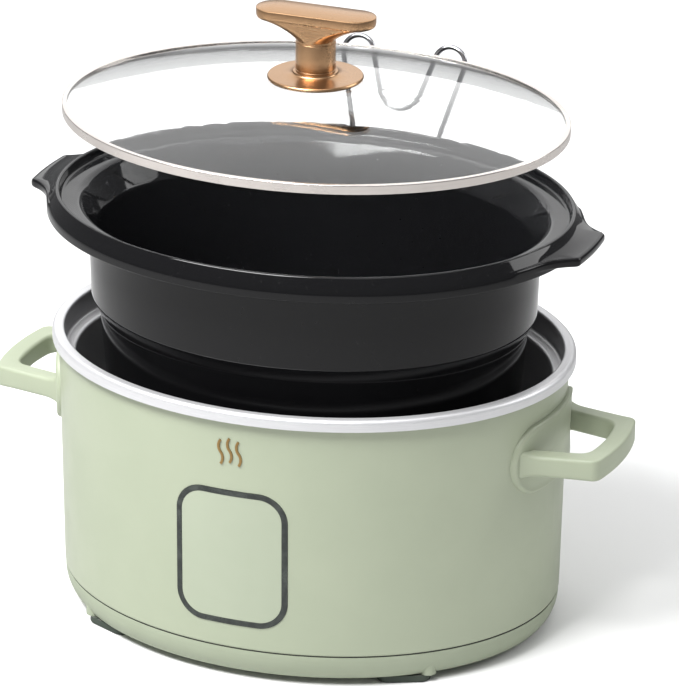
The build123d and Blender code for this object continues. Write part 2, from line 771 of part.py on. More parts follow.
def band_clamp():
    """Sprung clip that pulls the band's two ends together."""
    y = well_a(BAND_HIGH) * OVAL + 0.3
    height = BAND_HIGH - BAND_LOW - 2 * CLAMP_MARGIN
    middle = (BAND_LOW + BAND_HIGH) / 2
    block = Pos(0, y + CLAMP_THICK / 2, middle) * Box(BAND_OPENING - 0.6, CLAMP_THICK, height)
    groove = Box(CLAMP_GROOVE, 2 * CLAMP_THICK / 3, 2 * height)
    return block - Pos(0, y + CLAMP_THICK, middle) * groove


def fuse_place():
    """Place on the liner's outer face behind the thermal fuse."""
    a = well_a(FUSE_Z)
    return outward(FUSE_X, oval_y(a, FUSE_X), FUSE_Z)


def thermal_fuse():
    """One-shot thermal fuse held against the liner."""
    body = Rot(0, 90, 0) * Cylinder(FUSE_R, FUSE_LENGTH)
    return fuse_place() * Pos(0, 0, FUSE_R + FUSE_GAP) * body


def fuse_clip():
    """Clip over the middle of the thermal fuse."""
    hole = Rot(0, 90, 0) * Cylinder(FUSE_R, 2 * FUSE_LENGTH)
    return fuse_place() * Pos(0, 0, FUSE_R + FUSE_GAP) * (Box(*FUSE_CLIP) - hole)


def temperature_sensor():
    """Sensor disc pressed up against the liner's floor."""
    return Pos(SENSOR_X, 0, LINER_UNDER - SENSOR_H) * upright(SENSOR_R, SENSOR_H)


def sensor_strap():
    """Spring strap under the sensor, fixed to the liner's floor at both ends."""
    span = 2 * (SENSOR_R + STRAP_MARGIN)
    under = LINER_UNDER - SENSOR_H
    strap = Pos(SENSOR_X, 0, under - SHEET / 2) * Box(STRAP_WIDTH, span, SHEET)
    for end in (-1, 1):
        leg_y = end * (span / 2 + SHEET / 2)
        strap += Pos(SENSOR_X, leg_y, (under - SHEET + LINER_UNDER) / 2) * Box(
            STRAP_WIDTH, SHEET, SENSOR_H + SHEET
        )
    return strap


def tie_boss():
    """Threaded boss under the middle of the liner's floor."""
    boss = Pos(0, 0, LINER_UNDER - TIE_FLANGE_H) * upright(TIE_FLANGE_R, TIE_FLANGE_H)
    boss += Pos(0, 0, LINER_UNDER - TIE_BOSS_H) * upright(TIE_BOSS_R, TIE_BOSS_H)
    return boss - Pos(0, 0, LINER_UNDER - TIE_BOSS_H) * upright(TIE_R + SCREW_GAP, TIE_BOSS_H - 2)


def tie_bolt():
    """Bolt that ties the pan up to the liner."""
    length = LINER_UNDER - TIE_END_GAP - FOOT_H
    return Pos(0, 0, FOOT_H) * screw(length, TIE_R, TIE_HEAD_R, TIE_HEAD_H)


def tie_nut():
    """Lock nut on the tie bolt, above the pan."""
    hexagon = RegularPolygon(NUT_FLATS / 2, 6, major_radius=False)
    nut = Pos(0, 0, PAN_FLOOR) * extrude(hexagon, NUT_H)
    return nut - Pos(0, 0, PAN_FLOOR) * Cylinder(TIE_R + SCREW_GAP, 4 * NUT_H)


def power_board():
    """Board on the pan's posts."""
    top = PAN_FLOOR + POST_H
    board = Pos(POWER_X, 0, top + BOARD_THICK / 2) * Box(POWER_LENGTH, POWER_WIDTH, BOARD_THICK)
    for x, y in post_places():
        board -= Pos(x, y, top) * Cylinder(BOARD_SCREW_R + SCREW_GAP, 10)
    return board


def power_board_screws():
    """Four screws that hold the power board to its posts."""
    top = PAN_FLOOR + POST_H + BOARD_THICK
    screws = Part()
    for x, y in post_places():
        turned_over = Pos(x, y, top) * Rot(180, 0, 0)
        screws += turned_over * screw(POST_SCREW_LENGTH, BOARD_SCREW_R, *POST_SCREW_HEAD)
    return screws


def on_board(place, size):
    """A box of a given size standing on the power board."""
    top = PAN_FLOOR + POST_H + BOARD_THICK
    return Pos(POWER_X + place[0], place[1], top + size[2] / 2) * Box(*size)


def relay():
    """Relay that switches the heater."""
    body = on_board(RELAY_AT, RELAY)
    return fillet(body.edges().group_by(Axis.Z)[-1], 1.0)


def transformer():
    """Small transformer: a laminated core with its winding."""
    return on_board(CORE_AT, CORE) + on_board(CORE_AT, COIL)


def capacitors():
    """Two upright capacitors beside the transformer."""
    top = PAN_FLOOR + POST_H + BOARD_THICK
    return Part() + [
        Pos(POWER_X + x, CAPACITOR_Y, top) * upright(radius, height)
        for x, radius, height in CAPACITORS
    ]


def terminal_block():
    """Screw terminals where the mains leads land."""
    body = on_board(TERMINALS_AT, TERMINALS)
    x, y = TERMINALS_AT
    for side in (-1, 1):
        cell = (x + side * TERMINAL_PITCH / 2, y - TERMINALS[1] / 2)
        body -= on_board(cell, TERMINAL_CELL)
    return body


# --- base: cord inlet and lid rest socket ----------------------------------------------
def cord_gland():
    """Bush in the back wall for the mains lead."""
    face = shell_a(GLAND_Z + GLAND_FLANGE_R) * OVAL + LAP_GAP
    start = face - GLAND_IN
    gland = Pos(0, start, GLAND_Z) * backwards(GLAND_R, GLAND_IN + GLAND_OUT)
    gland += Pos(0, face, GLAND_Z) * backwards(GLAND_FLANGE_R, GLAND_FLANGE_H)
    gland = chamfer(gland.edges().group_by(Axis.Y)[-1], GLAND_EDGE)
    return gland - Pos(0, start - 1, GLAND_Z) * backwards(GLAND_BORE_R, FAR)


def gland_nut():
    """Nut that holds the gland from inside the shell."""
    face = (shell_a(GLAND_Z) - SHEET) * OVAL - GLAND_NUT_H - GLAND_NUT_GAP
    hexagon = RegularPolygon(GLAND_NUT_FLATS / 2, 6, major_radius=False)
    nut = Pos(0, face, GLAND_Z) * Rot(-90, 0, 0) * extrude(hexagon, GLAND_NUT_H)
    return nut - Pos(0, face - 1, GLAND_Z) * backwards(GLAND_R, 20)


def rest_socket():
    """Block on the back of the shell with a blind hole for each leg of the lid rest."""
    outer = WIRE_Y + SOCKET_WALL
    block = Pos(REST_X, outer - SOCKET_DEPTH / 2, SOCKET_TOP - SOCKET_H / 2) * Box(
        SOCKET_WIDTH, SOCKET_DEPTH, SOCKET_H
    )
    block = fillet(block.edges().filter_by(Axis.Z).group_by(Axis.Y)[-1], SOCKET_ROUND)
    ends = block.edges().group_by(Axis.Z)
    block = fillet(ends[0] + ends[-1], SOCKET_EDGE)
    block -= shell_core()
    floor = SOCKET_TOP - REST_INSERT - SOCKET_FLOOR_GAP
    for x in leg_places():
        block -= Pos(x, WIRE_Y, floor) * upright(WIRE_R + SOCKET_GAP, SOCKET_H)
    for x, z in socket_screw_places():
        depth = shell_a(z) * OVAL + SOCKET_SCREW_HOLE
        block -= Pos(x, 0, z) * backwards(SCREW_R + SCREW_GAP, depth)
    return block


def socket_screws():
    """Two screws from inside the shell into the socket block."""
    screws = Part()
    for x, z in socket_screw_places():
        face = oval_y(shell_a(z) - SHEET, x) - SOCKET_SCREW_GAP
        screws += Pos(x, face, z) * Rot(-90, 0, 0) * screw(SHEET + SOCKET_SCREW_BITE)
    return screws


# --- crock -----------------------------------------------------------------------------
def crock_lug(side):
    """Lifting lug at one end of the crock's rim."""
    tip = CROCK_A + LUG_REACH
    flare_x = oval_x(CROCK_A - 1, LUG_FLARE)
    inner = flare_x - LUG_ROOT
    neck_y = LUG_HALF + LUG_NECK
    neck_x = oval_x(CROCK_A, neck_y) + LUG_NECK_OUT
    half = (
        ThreePointArc((tip, -LUG_HALF), (tip + LUG_BOW, 0), (tip, LUG_HALF))
        + ThreePointArc((tip, LUG_HALF), (neck_x, neck_y), (flare_x, LUG_FLARE))
        + Polyline(
            (flare_x, LUG_FLARE), (inner, LUG_FLARE), (inner, -LUG_FLARE), (flare_x, -LUG_FLARE)
        )
        + ThreePointArc((flare_x, -LUG_FLARE), (neck_x, -neck_y), (tip, -LUG_HALF))
    )
    lug = extrude(Pos(0, 0, CROCK_Z + LUG_LOW) * make_face(half), LUG_HIGH - LUG_LOW)
    outer = lug.edges().filter_by_position(Axis.X, CROCK_A, FAR)
    lug = fillet(outer.group_by(Axis.Z)[0] + outer.group_by(Axis.Z)[-1], LUG_EDGE)
    lug -= Pos(0, 0, CROCK_Z) * oval(Cylinder(LEDGE_A + LUG_ROOM, 2 * CROCK_CREST))
    return lug if side > 0 else mirror(lug, Plane.YZ)


def crock():
    """Glazed stoneware pot: flared rim with a lid ledge, two lugs, a stepped body."""
    waist = CROCK_BODY_A - CROCK_LEAN
    low_out = waist - CROCK_STEP - CROCK_FOOT_TAPER
    foot_in = low_out - CROCK_FOOT_WIDTH
    points = [
        (0, CROCK_FLOOR - CROCK_DEPTH),
        (low_out - CROCK_WALL, CROCK_FLOOR - CROCK_DEPTH),
        (CROCK_BODY_A - CROCK_WALL, -CROCK_SHOULDER),
        (LEDGE_A - LEDGE_WIDTH, CROCK_CREST - LEDGE_DROP),
        (LEDGE_A, CROCK_CREST - LEDGE_DROP),
        (LEDGE_A + CREST_SLOPE, CROCK_CREST),
        (CREST_A + CREST_SLOPE, CROCK_CREST),
        (CROCK_A, RIM_SIDE),
        (CROCK_A, 0),
        (CROCK_BODY_A, 0),
        (waist, -CROCK_STEP_DROP),
        (waist - CROCK_STEP, -CROCK_STEP_DROP - CROCK_STEP_FALL),
        (low_out, -CROCK_DEPTH),
        (foot_in, -CROCK_DEPTH),
        (foot_in - CROCK_FOOT_SLOPE, CROCK_FOOT_RISE - CROCK_DEPTH),
        (0, CROCK_FOOT_RISE - CROCK_DEPTH),
    ]
    line = FilletPolyline(*points, radius=list(CROCK_RADII))
    axis = Line(points[-1], points[0])
    pot = turned(Pos(0, CROCK_Z) * make_face(Curve() + [line, axis]))
    return pot + crock_lug(-1) + crock_lug(1)


# --- lid -------------------------------------------------------------------------------
def dome_line(drop):
    """Profile of the glass's face, a distance below its upper one, out to the edge."""
    top = DOME_TOP - drop
    edge = GLASS_TOP - drop
    radius = (DOME_A**2 + DOME_RISE**2) / (2 * DOME_RISE)
    half = DOME_A / 2
    middle = top - radius + sqrt(radius**2 - half**2)
    return ThreePointArc((0, top), (half, middle), (DOME_A, edge)) + Line(
        (DOME_A, edge), (GLASS_EDGE_A, edge)
    )


def lid_glass():
    """Domed tempered glass with a hole for the knob's screw."""
    face = make_face(
        dome_line(0)
        + dome_line(GLASS)
        + Line((GLASS_EDGE_A, GLASS_TOP), (GLASS_EDGE_A, GLASS_TOP - GLASS))
        + Line((0, DOME_TOP), (0, DOME_TOP - GLASS))
    )
    glass = turned(face, LID_OVAL)
    return glass - Pos(0, 0, DOME_TOP) * Cylinder(KNOB_SCREW_R + 1, 4 * GLASS)


def lid_rim():
    """Steel band folded round the edge of the glass."""
    inner = LID_A - BAND_LIP
    top = LID_Z + BAND_HEIGHT
    face = make_face(
        Polyline(
            (inner, LID_Z),
            (LID_A, LID_Z),
            (LID_A, top),
            (inner, top),
            (inner, top - BAND_SHEET),
            (GLASS_EDGE_A, top - BAND_SHEET),
            (GLASS_EDGE_A, LID_Z + BAND_SHEET),
            (inner, LID_Z + BAND_SHEET),
            close=True,
        )
    )
    corners = face.vertices().group_by(Axis.X)[-1]
    return turned(fillet(corners, BAND_EDGE), LID_OVAL)


def lid_seal():
    """Silicone strip under the glass inside the rim band."""
    low = LID_Z + BAND_SHEET
    high = GLASS_TOP - GLASS
    inner = LID_A - BAND_LIP
    strip = Polygon(
        (inner, low), (GLASS_EDGE_A, low), (GLASS_EDGE_A, high), (inner, high), align=None
    )
    return turned(strip, LID_OVAL)


def knob_flange():
    """Round foot of the knob, its underside shaped to the glass."""
    under = DOME_TOP - FLANGE_UNDER
    lip_low, lip_high = (DOME_TOP + rise for rise in FLANGE_LIP_Z)
    lip_a = FLANGE_R - FLANGE_LIP
    root = STEM_R + STEM_FILLET
    outline = (
        Polyline((0, under), (lip_a, under), (FLANGE_R, lip_low), (lip_a, lip_high))
        + ThreePointArc(
            (lip_a, lip_high), ((FLANGE_R + STEM_R) / 2, DOME_TOP + FLANGE_SWEEP_Z), (root, STEM_Z)
        )
        + Polyline((root, STEM_Z), (0, STEM_Z), (0, under))
    )
    flange = revolve(Plane.XZ * make_face(outline), Axis.Z)
    dome = turned(
        make_face(dome_line(0) + Polyline((GLASS_EDGE_A, GLASS_TOP), (0, GLASS_TOP), (0, DOME_TOP))),
        LID_OVAL,
    )
    flange -= dome
    return flange - Pos(0, 0, DOME_TOP) * Cylinder(KNOB_SCREW_R + SCREW_GAP, 4 * FLANGE_H)


def knob_stem():
    """Turned stem with a fine groove at each end and a spigot for the grip."""
    stem = Pos(0, 0, STEM_Z) * upright(STEM_R, STEM_H)
    groove = Cylinder(STEM_R + STEM_GROOVE, STEM_GROOVE) - Cylinder(STEM_R - STEM_GROOVE, STEM_GROOVE)
    for z in (STEM_Z + STEM_GROOVE_IN, GRIP_Z - STEM_GROOVE_IN):
        stem -= Pos(0, 0, z) * groove
    stem += Pos(0, 0, GRIP_Z) * upright(SPIGOT_R, SPIGOT_H)
    return stem - Pos(0, 0, STEM_Z) * upright(KNOB_SCREW_R + SCREW_GAP, STEM_BORE)


def knob_grip():
    """Long rounded bar that flares out of the stem."""
    bar = SlotOverall(GRIP_LENGTH, GRIP_WIDTH)
    flare = loft(
        [Pos(0, 0, GRIP_Z) * Circle(STEM_R), Pos(0, 0, GRIP_Z + GRIP_FLARE_H) * bar], ruled=True
    )
    side = extrude(Pos(0, 0, GRIP_Z + GRIP_FLARE_H) * bar, GRIP_SIDE_H)
    side = chamfer(side.edges().group_by(Axis.Z)[-1], GRIP_CHAMFER)
    grip = flare + side
    return grip - Pos(0, 0, GRIP_Z) * upright(SPIGOT_R + SCREW_GAP, SPIGOT_H + 0.5)


def knob_screw():
    """Screw up through the glass into the stem."""
    under = DOME_TOP - GLASS - KNOB_SEAL_H - KNOB_WASHER_H
    length = STEM_Z + KNOB_SCREW_BITE - under
    return Pos(0, 0, under) * screw(length, KNOB_SCREW_R, *KNOB_SCREW_HEAD)


def knob_washer():
    """Steel washer under the seal."""
    base = DOME_TOP - GLASS - KNOB_SEAL_H - KNOB_WASHER_H
    washer = Pos(0, 0, base) * upright(KNOB_SEAL_R - 1, KNOB_WASHER_H)
    return washer - Pos(0, 0, base) * Cylinder(KNOB_SCREW_R + SCREW_GAP, 10)


def knob_seal():
    """Silicone seal between the glass and the washer, with a collar in the hole."""
    base = DOME_TOP - GLASS - KNOB_SEAL_H
    seal = Pos(0, 0, base) * upright(KNOB_SEAL_R, KNOB_SEAL_H) - lid_glass()
    seal += Pos(0, 0, base) * upright(KNOB_SCREW_R + 0.95, GLASS)
    return seal - Pos(0, 0, base - 1) * upright(KNOB_SCREW_R + SCREW_GAP, 20)


# --- lid rest --------------------------------------------------------------------------
def lid_rest():
    """Bent wire that holds the lid on edge: two legs, two humps and the dip between."""
    leg = REST_PITCH / 2
    lean = radians(REST_LEAN)

    def on_lean(x, rise):
        """A point of the leaning part, at a distance up it from the bend."""
        return (REST_X + x, WIRE_Y + rise * sin(lean), RIM_TOP + REST_BEND + rise * cos(lean))

    half = [
        ((REST_X + leg, WIRE_Y, SOCKET_TOP - REST_INSERT), 0),
        ((REST_X + leg, WIRE_Y, RIM_TOP + REST_STRAIGHT), REST_BEND_R),
        (on_lean(REST_BEND_HALF, 0), REST_BEND_R),
        (on_lean(REST_BEND_HALF + HUMP_OUT, HUMP_OUT_RISE), HUMP_R),
        (on_lean(REST_BEND_HALF - HUMP_IN, HUMP_IN_RISE), HUMP_R),
    ]
    dip = (on_lean(0, -DIP_DROP), DIP_R)
    other = [((2 * REST_X - p[0], p[1], p[2]), r) for p, r in reversed(half)]
    route = half + [dip] + other
    path = FilletPolyline(*[p for p, _ in route], radius=[r for _, r in route[1:-1]])
    return sweep(Plane(origin=route[0][0], z_dir=(0, 0, 1)) * Circle(WIRE_R), path)


PARTS = {
    "outer_shell": outer_shell(),
    "heating_liner": heating_liner(),
    "base_pan": base_pan(),
    "base_seal": base_seal(),
    "feet": feet(),
    "pan_screws": pan_screws(),
    "handle_left": handle(-1),
    "handle_right": handle(1),
    "handle_backing_left": handle_backing(-1),
    "handle_backing_right": handle_backing(1),
    "handle_screws": handle_screws(),
    "panel_outline": panel_outline(),
    "touch_panel": touch_panel(),
    "panel_tray": panel_tray(),
    "control_board": control_board(),
    "board_screws": board_screws(),
    "front_emblem": front_emblem(),
    "heater_band": heater_band(),
    "insulation_sleeve": insulation_sleeve(),
    "band_clamp": band_clamp(),
    "thermal_fuse": thermal_fuse(),
    "fuse_clip": fuse_clip(),
    "temperature_sensor": temperature_sensor(),
    "sensor_strap": sensor_strap(),
    "tie_boss": tie_boss(),
    "tie_bolt": tie_bolt(),
    "tie_nut": tie_nut(),
    "power_board": power_board(),
    "power_board_screws": power_board_screws(),
    "relay": relay(),
    "transformer": transformer(),
    "capacitors": capacitors(),
    "terminal_block": terminal_block(),
    "cord_gland": cord_gland(),
    "gland_nut": gland_nut(),
    "rest_socket": rest_socket(),
    "socket_screws": socket_screws(),
    "crock": crock(),
    "lid_glass": lid_glass(),
    "lid_rim": lid_rim(),
    "lid_seal": lid_seal(),
    "knob_flange": knob_flange(),
    "knob_stem": knob_stem(),
    "knob_grip": knob_grip(),
    "knob_screw": knob_screw(),
    "knob_washer": knob_washer(),
    "knob_seal": knob_seal(),
    "lid_rest": lid_rest(),
}

# The origin is on the table, under the middle of the whole cooker's box.
front = PARTS["crock"].bounding_box().min.Y
back = PARTS["lid_rest"].bounding_box().max.Y
to_origin = Pos(0, -(front + back) / 2, 0)

os.makedirs("parts", exist_ok=True)
for name, shape in PARTS.items():
    export_step(to_origin * shape, f"parts/{name}.step")
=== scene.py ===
"""Looks of an oval slow cooker: a painted base, a black glazed crock, a glass lid and a wire lid rest.

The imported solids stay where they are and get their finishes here. The crock, the handles and the
lid's knob are modelled again as smooth pieces that stand for their solids.
"""
import logging
from collections.abc import Callable, Sequence
from dataclasses import dataclass
from enum import Enum
from math import atan2, cos, hypot, pi, radians, sin, sqrt
from typing import Protocol

import bmesh
import bpy
from mathutils import Matrix, Vector


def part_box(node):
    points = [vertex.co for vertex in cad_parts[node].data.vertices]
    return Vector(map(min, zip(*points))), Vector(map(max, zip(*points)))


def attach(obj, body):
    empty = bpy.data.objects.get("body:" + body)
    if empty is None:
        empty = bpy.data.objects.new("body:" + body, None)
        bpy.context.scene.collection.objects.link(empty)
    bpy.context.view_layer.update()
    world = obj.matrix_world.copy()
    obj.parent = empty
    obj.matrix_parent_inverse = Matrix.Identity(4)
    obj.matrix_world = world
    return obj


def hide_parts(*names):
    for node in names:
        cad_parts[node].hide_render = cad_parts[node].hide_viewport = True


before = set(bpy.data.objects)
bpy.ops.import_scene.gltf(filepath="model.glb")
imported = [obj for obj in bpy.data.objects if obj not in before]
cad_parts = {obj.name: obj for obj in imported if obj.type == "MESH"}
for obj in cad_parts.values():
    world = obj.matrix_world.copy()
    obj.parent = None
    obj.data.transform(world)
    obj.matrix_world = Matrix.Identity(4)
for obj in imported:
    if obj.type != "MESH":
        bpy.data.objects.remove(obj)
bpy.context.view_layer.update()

log = logging.getLogger("slow_cooker")

MM = 0.001
LINER_LOW, LINER_HIGH = (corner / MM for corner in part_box("heating_liner"))
AXIS_Y = (LINER_LOW.y + LINER_HIGH.y) / 2  # the ovals' common upright axis stands at x 0, y AXIS_Y
OVAL = (LINER_HIGH.y - LINER_LOW.y) / (LINER_HIGH.x - LINER_LOW.x)
RIM_A = LINER_HIGH.x
RIM_TOP = LINER_HIGH.z

Colour = tuple[float, float, float]
Ring = list[Vector]
Socket = bpy.types.NodeSocket
Value = float | Socket


class Pattern(Enum):
    """What the fine surface relief of a finish looks like."""

    GRAIN = "grain"
    RING_BRUSHED = "ring brushed"
    LONG_BRUSHED = "long brushed"
    WOVEN = "woven"


# --- node trees ------------------------------------------------------------------------------
BRUSH_LINES = 2600.0  # brushed lines in a metre, across the brushing
STREAKS_PER_RADIAN = 7.0
STREAKS_PER_METRE = 45.0
SLEEVE_RADIUS = 0.15
PATCH_RANGE = (0.32, 0.68)  # the stretch of a noise that turns from none to all
SPECK_RANGE = (0.70, 0.78)
STREAK_RANGE = (0.3, 0.7)
CHIP_SCALE, CHIP_RANGE = 140.0, (0.35, 0.7)
DUST_SCALE, DUST_RANGE = 260.0, (0.45, 0.75)
LEVEL_RANGE = (0.4, 1.0)  # how far a face looks up before dust settles on it


class Wiring:
    """Adds and joins nodes in one node tree."""

    def __init__(self, tree: bpy.types.NodeTree) -> None:
        """Keeps the tree to build in.

        Args:
            tree: The material's or group's node tree.
        """
        self.tree = tree

    def add(self, kind: str, inputs: dict | None = None, **settings: object) -> bpy.types.Node:
        """Adds a node, sets its options and fills its inputs.

        Args:
            kind: The node's type name.
            inputs: Input name or number to a constant or to another node's output.
            **settings: Options of the node itself.

        Returns:
            The new node.
        """
        node = self.tree.nodes.new(kind)
        for key, value in settings.items():
            setattr(node, key, value)
        for key, value in (inputs or {}).items():
            if isinstance(value, Socket):
                self.tree.links.new(value, node.inputs[key])
            else:
                node.inputs[key].default_value = value
        return node

    def maths(self, operation: str, *values: Value) -> Socket:
        """One Math node.

        Args:
            operation: The node's operation.
            *values: Its inputs in order.

        Returns:
            Its output.
        """
        return self.add("ShaderNodeMath", dict(enumerate(values)), operation=operation).outputs[0]

    def noise(self, vector: Socket, scale: Value, detail: float, rough: float = 0.5) -> Socket:
        """A noise texture's value.

        Args:
            vector: Where it is read.
            scale: Its scale, a number or an output.
            detail: Its octaves.
            rough: How strong the finer octaves are.

        Returns:
            The noise, from 0 to 1.
        """
        inputs = {"Vector": vector, "Scale": scale, "Detail": detail, "Roughness": rough}
        return self.add("ShaderNodeTexNoise", inputs).outputs[0]

    def spread(self, value: Socket, low: Value, high: Value, to_low: float = 0.0,
               to_high: float = 1.0) -> Socket:
        """Maps a value smoothly from one range to another.

        Args:
            value: The value to map.
            low: Where the range starts.
            high: Where the range ends.
            to_low: The result at its start.
            to_high: The result at its end.

        Returns:
            The mapped value.
        """
        inputs = {"Value": value, "From Min": low, "From Max": high, "To Min": to_low, "To Max": to_high}
        node = self.add("ShaderNodeMapRange", inputs, interpolation_type="SMOOTHSTEP")
        return node.outputs[0]

    def mix(self, factor: Value, first: Colour | Socket, second: Colour | Socket) -> Socket:
        """Mixes two colours.

        Args:
            factor: The second colour's share.
            first: A colour, as three numbers or an output.
            second: The other colour.

        Returns:
            The mixed colour.
        """
        node = self.add("ShaderNodeMix", {"Factor": factor}, data_type="RGBA")
        for slot, value in ((6, first), (7, second)):
            if isinstance(value, Socket):
                self.tree.links.new(value, node.inputs[slot])
            else:
                node.inputs[slot].default_value = (*value, 1.0)
        return node.outputs[2]


def new_group(name: str, inputs: dict[str, float],
              outputs: Sequence[str]) -> tuple[Wiring, dict[str, Socket], Callable]:
    """Starts a shader node group.

    Args:
        name: The group's name.
        inputs: Its input names and their starting values.
        outputs: Its output names.

    Returns:
        The group's wiring, its input sockets by name, and a function that joins an output.
    """
    tree = bpy.data.node_groups.new(name, "ShaderNodeTree")
    for key, value in inputs.items():
        socket = tree.interface.new_socket(key, in_out="INPUT", socket_type="NodeSocketFloat")
        socket.default_value = value
    for key in outputs:
        tree.interface.new_socket(key, in_out="OUTPUT", socket_type="NodeSocketFloat")
    wiring = Wiring(tree)
    entry = wiring.add("NodeGroupInput")
    leaving = wiring.add("NodeGroupOutput")

    def finish(key: str, value: Socket) -> None:
        """Joins a value to one of the group's outputs."""
        tree.links.new(value, leaving.inputs[key])

    return wiring, {key: entry.outputs[key] for key in inputs}, finish


def handling_group() -> bpy.types.NodeTree:
    """Large soft patches and fine specks, as on a surface that has been wiped and handled.

    Returns:
        A group with Patches and Specks, both 0 to 1.
    """
    w, given, finish = new_group("handling", {"Scale": 18.0, "Speck scale": 900.0}, ("Patches", "Specks"))
    place = w.add("ShaderNodeTexCoord").outputs["Object"]
    broad = w.noise(place, given["Scale"], detail=4.0, rough=0.55)
    fine = w.noise(place, given["Speck scale"], detail=1.0)
    finish("Patches", w.spread(broad, *PATCH_RANGE))
    finish("Specks", w.spread(fine, *SPECK_RANGE))
    return w.tree


def relief_group() -> bpy.types.NodeTree:
    """Fine moulded grain over a slow waviness.

    Returns:
        A group with Grain and Waves, both 0 to 1.
    """
    w, given, finish = new_group("relief", {"Grain scale": 1400.0, "Wave scale": 30.0}, ("Grain", "Waves"))
    place = w.add("ShaderNodeTexCoord").outputs["Object"]
    finish("Grain", w.noise(place, given["Grain scale"], detail=2.0, rough=0.6))
    finish("Waves", w.noise(place, given["Wave scale"], detail=1.0, rough=0.4))
    return w.tree


def ring_brush_group() -> bpy.types.NodeTree:
    """Streaks that run round the upright axis of an oval.

    Returns:
        A group with Streaks, 0 to 1, and Radius, the distance from the axis along X in metres.
    """
    given_values = {"Ratio": OVAL, "Axis Y": AXIS_Y * MM, "Lines": BRUSH_LINES}
    w, given, finish = new_group("ring_brushing", given_values, ("Streaks", "Radius"))
    place = w.add("ShaderNodeTexCoord").outputs["Object"]
    parts = w.add("ShaderNodeSeparateXYZ", {0: place}).outputs
    across = w.maths("DIVIDE", w.maths("SUBTRACT", parts[1], given["Axis Y"]), given["Ratio"])
    radius = w.maths("SQRT", w.maths("ADD", w.maths("MULTIPLY", parts[0], parts[0]),
                                     w.maths("MULTIPLY", across, across)))
    turn = w.maths("ARCTAN2", across, parts[0])
    lines = w.maths("MULTIPLY", radius, given["Lines"])
    up = w.maths("MULTIPLY", parts[2], given["Lines"])
    along = w.maths("MULTIPLY", turn, STREAKS_PER_RADIAN)
    vector = w.add("ShaderNodeCombineXYZ", {0: lines, 1: up, 2: along}).outputs[0]
    finish("Streaks", w.noise(vector, 1.0, detail=3.0, rough=0.65))
    finish("Radius", radius)
    return w.tree


def long_brush_group() -> bpy.types.NodeTree:
    """Streaks that run along X.

    Returns:
        A group with Streaks, 0 to 1.
    """
    w, given, finish = new_group("long_brushing", {"Lines": BRUSH_LINES}, ("Streaks",))
    place = w.add("ShaderNodeTexCoord").outputs["Object"]
    parts = w.add("ShaderNodeSeparateXYZ", {0: place}).outputs
    vector = w.add("ShaderNodeCombineXYZ", {0: w.maths("MULTIPLY", parts[0], STREAKS_PER_METRE),
                                            1: w.maths("MULTIPLY", parts[1], given["Lines"]),
                                            2: w.maths("MULTIPLY", parts[2], given["Lines"])}).outputs[0]
    finish("Streaks", w.noise(vector, 1.0, detail=3.0, rough=0.6))
    return w.tree


def weave_group() -> bpy.types.NodeTree:
    """Threads crossing over and under, for glass-fibre sleeving.

    Returns:
        A group with Threads, 0 to 1.
    """
    w, given, finish = new_group("weave", {"Threads per metre": 900.0}, ("Threads",))
    place = w.add("ShaderNodeTexCoord").outputs["Object"]
    parts = w.add("ShaderNodeSeparateXYZ", {0: place}).outputs
    count = w.maths("MULTIPLY", given["Threads per metre"], 2 * pi)
    turn = w.maths("MULTIPLY", w.maths("ARCTAN2", parts[1], parts[0]), SLEEVE_RADIUS)
    warp = w.maths("SINE", w.maths("MULTIPLY", turn, count))
    weft = w.maths("SINE", w.maths("MULTIPLY", parts[2], count))
    finish("Threads", w.maths("MULTIPLY_ADD", w.maths("MULTIPLY", warp, weft), 0.5, 0.5))
    return w.tree


def wear_group() -> bpy.types.NodeTree:
    """Where edges are rubbed and where dust settles.

    Returns:
        A group with Edges and Dust, both 0 to 1.
    """
    w, given, finish = new_group("wear", {"Edge low": 0.53, "Edge high": 0.60}, ("Edges", "Dust"))
    place = w.add("ShaderNodeTexCoord").outputs["Object"]
    seen = w.add("ShaderNodeNewGeometry").outputs
    chips = w.spread(w.noise(place, CHIP_SCALE, detail=3.0, rough=0.6), *CHIP_RANGE)
    edges = w.spread(seen["Pointiness"], given["Edge low"], given["Edge high"])
    finish("Edges", w.maths("MULTIPLY", edges, chips))
    facing = w.add("ShaderNodeSeparateXYZ", {0: seen["Normal"]}).outputs[2]
    level = w.spread(facing, *LEVEL_RANGE)
    uneven = w.spread(w.noise(place, DUST_SCALE, detail=4.0, rough=0.7), *DUST_RANGE)
    finish("Dust", w.maths("MULTIPLY", level, uneven))
    return w.tree


class Groups:
    """The shared node groups, each built once."""

    def __init__(self) -> None:
        """Builds every group."""
        self.handling = handling_group()
        self.relief = relief_group()
        self.ring_brush = ring_brush_group()
        self.long_brush = long_brush_group()
        self.weave = weave_group()
        self.wear = wear_group()

    @staticmethod
    def place(w: Wiring, group: bpy.types.NodeTree, **values: float) -> bpy.types.bpy_prop_collection:
        """Puts a group into a material with its own values.

        Args:
            w: The material's wiring.
            group: The shared group.
            **values: Input names, with spaces as underscores, and their values.

        Returns:
            The group's outputs.
        """
        node = w.tree.nodes.new("ShaderNodeGroup")
        node.node_tree = group
        for key, value in values.items():
            node.inputs[key.replace("_", " ")].default_value = value
        return node.outputs


GROUPS = Groups()


# --- finishes --------------------------------------------------------------------------------
def blank_material(name: str) -> tuple[bpy.types.Material, Wiring, bpy.types.Node]:
    """Starts a material with its Principled shader.

    Args:
        name: The material's name.

    Returns:
        The material, its wiring and its shader node.
    """
    material = bpy.data.materials.new(name)
    material.use_nodes = True
    material.node_tree.nodes.clear()
    w = Wiring(material.node_tree)
    shader = w.add("ShaderNodeBsdfPrincipled")
    w.add("ShaderNodeOutputMaterial", {"Surface": shader.outputs[0]})
    return material, w, shader


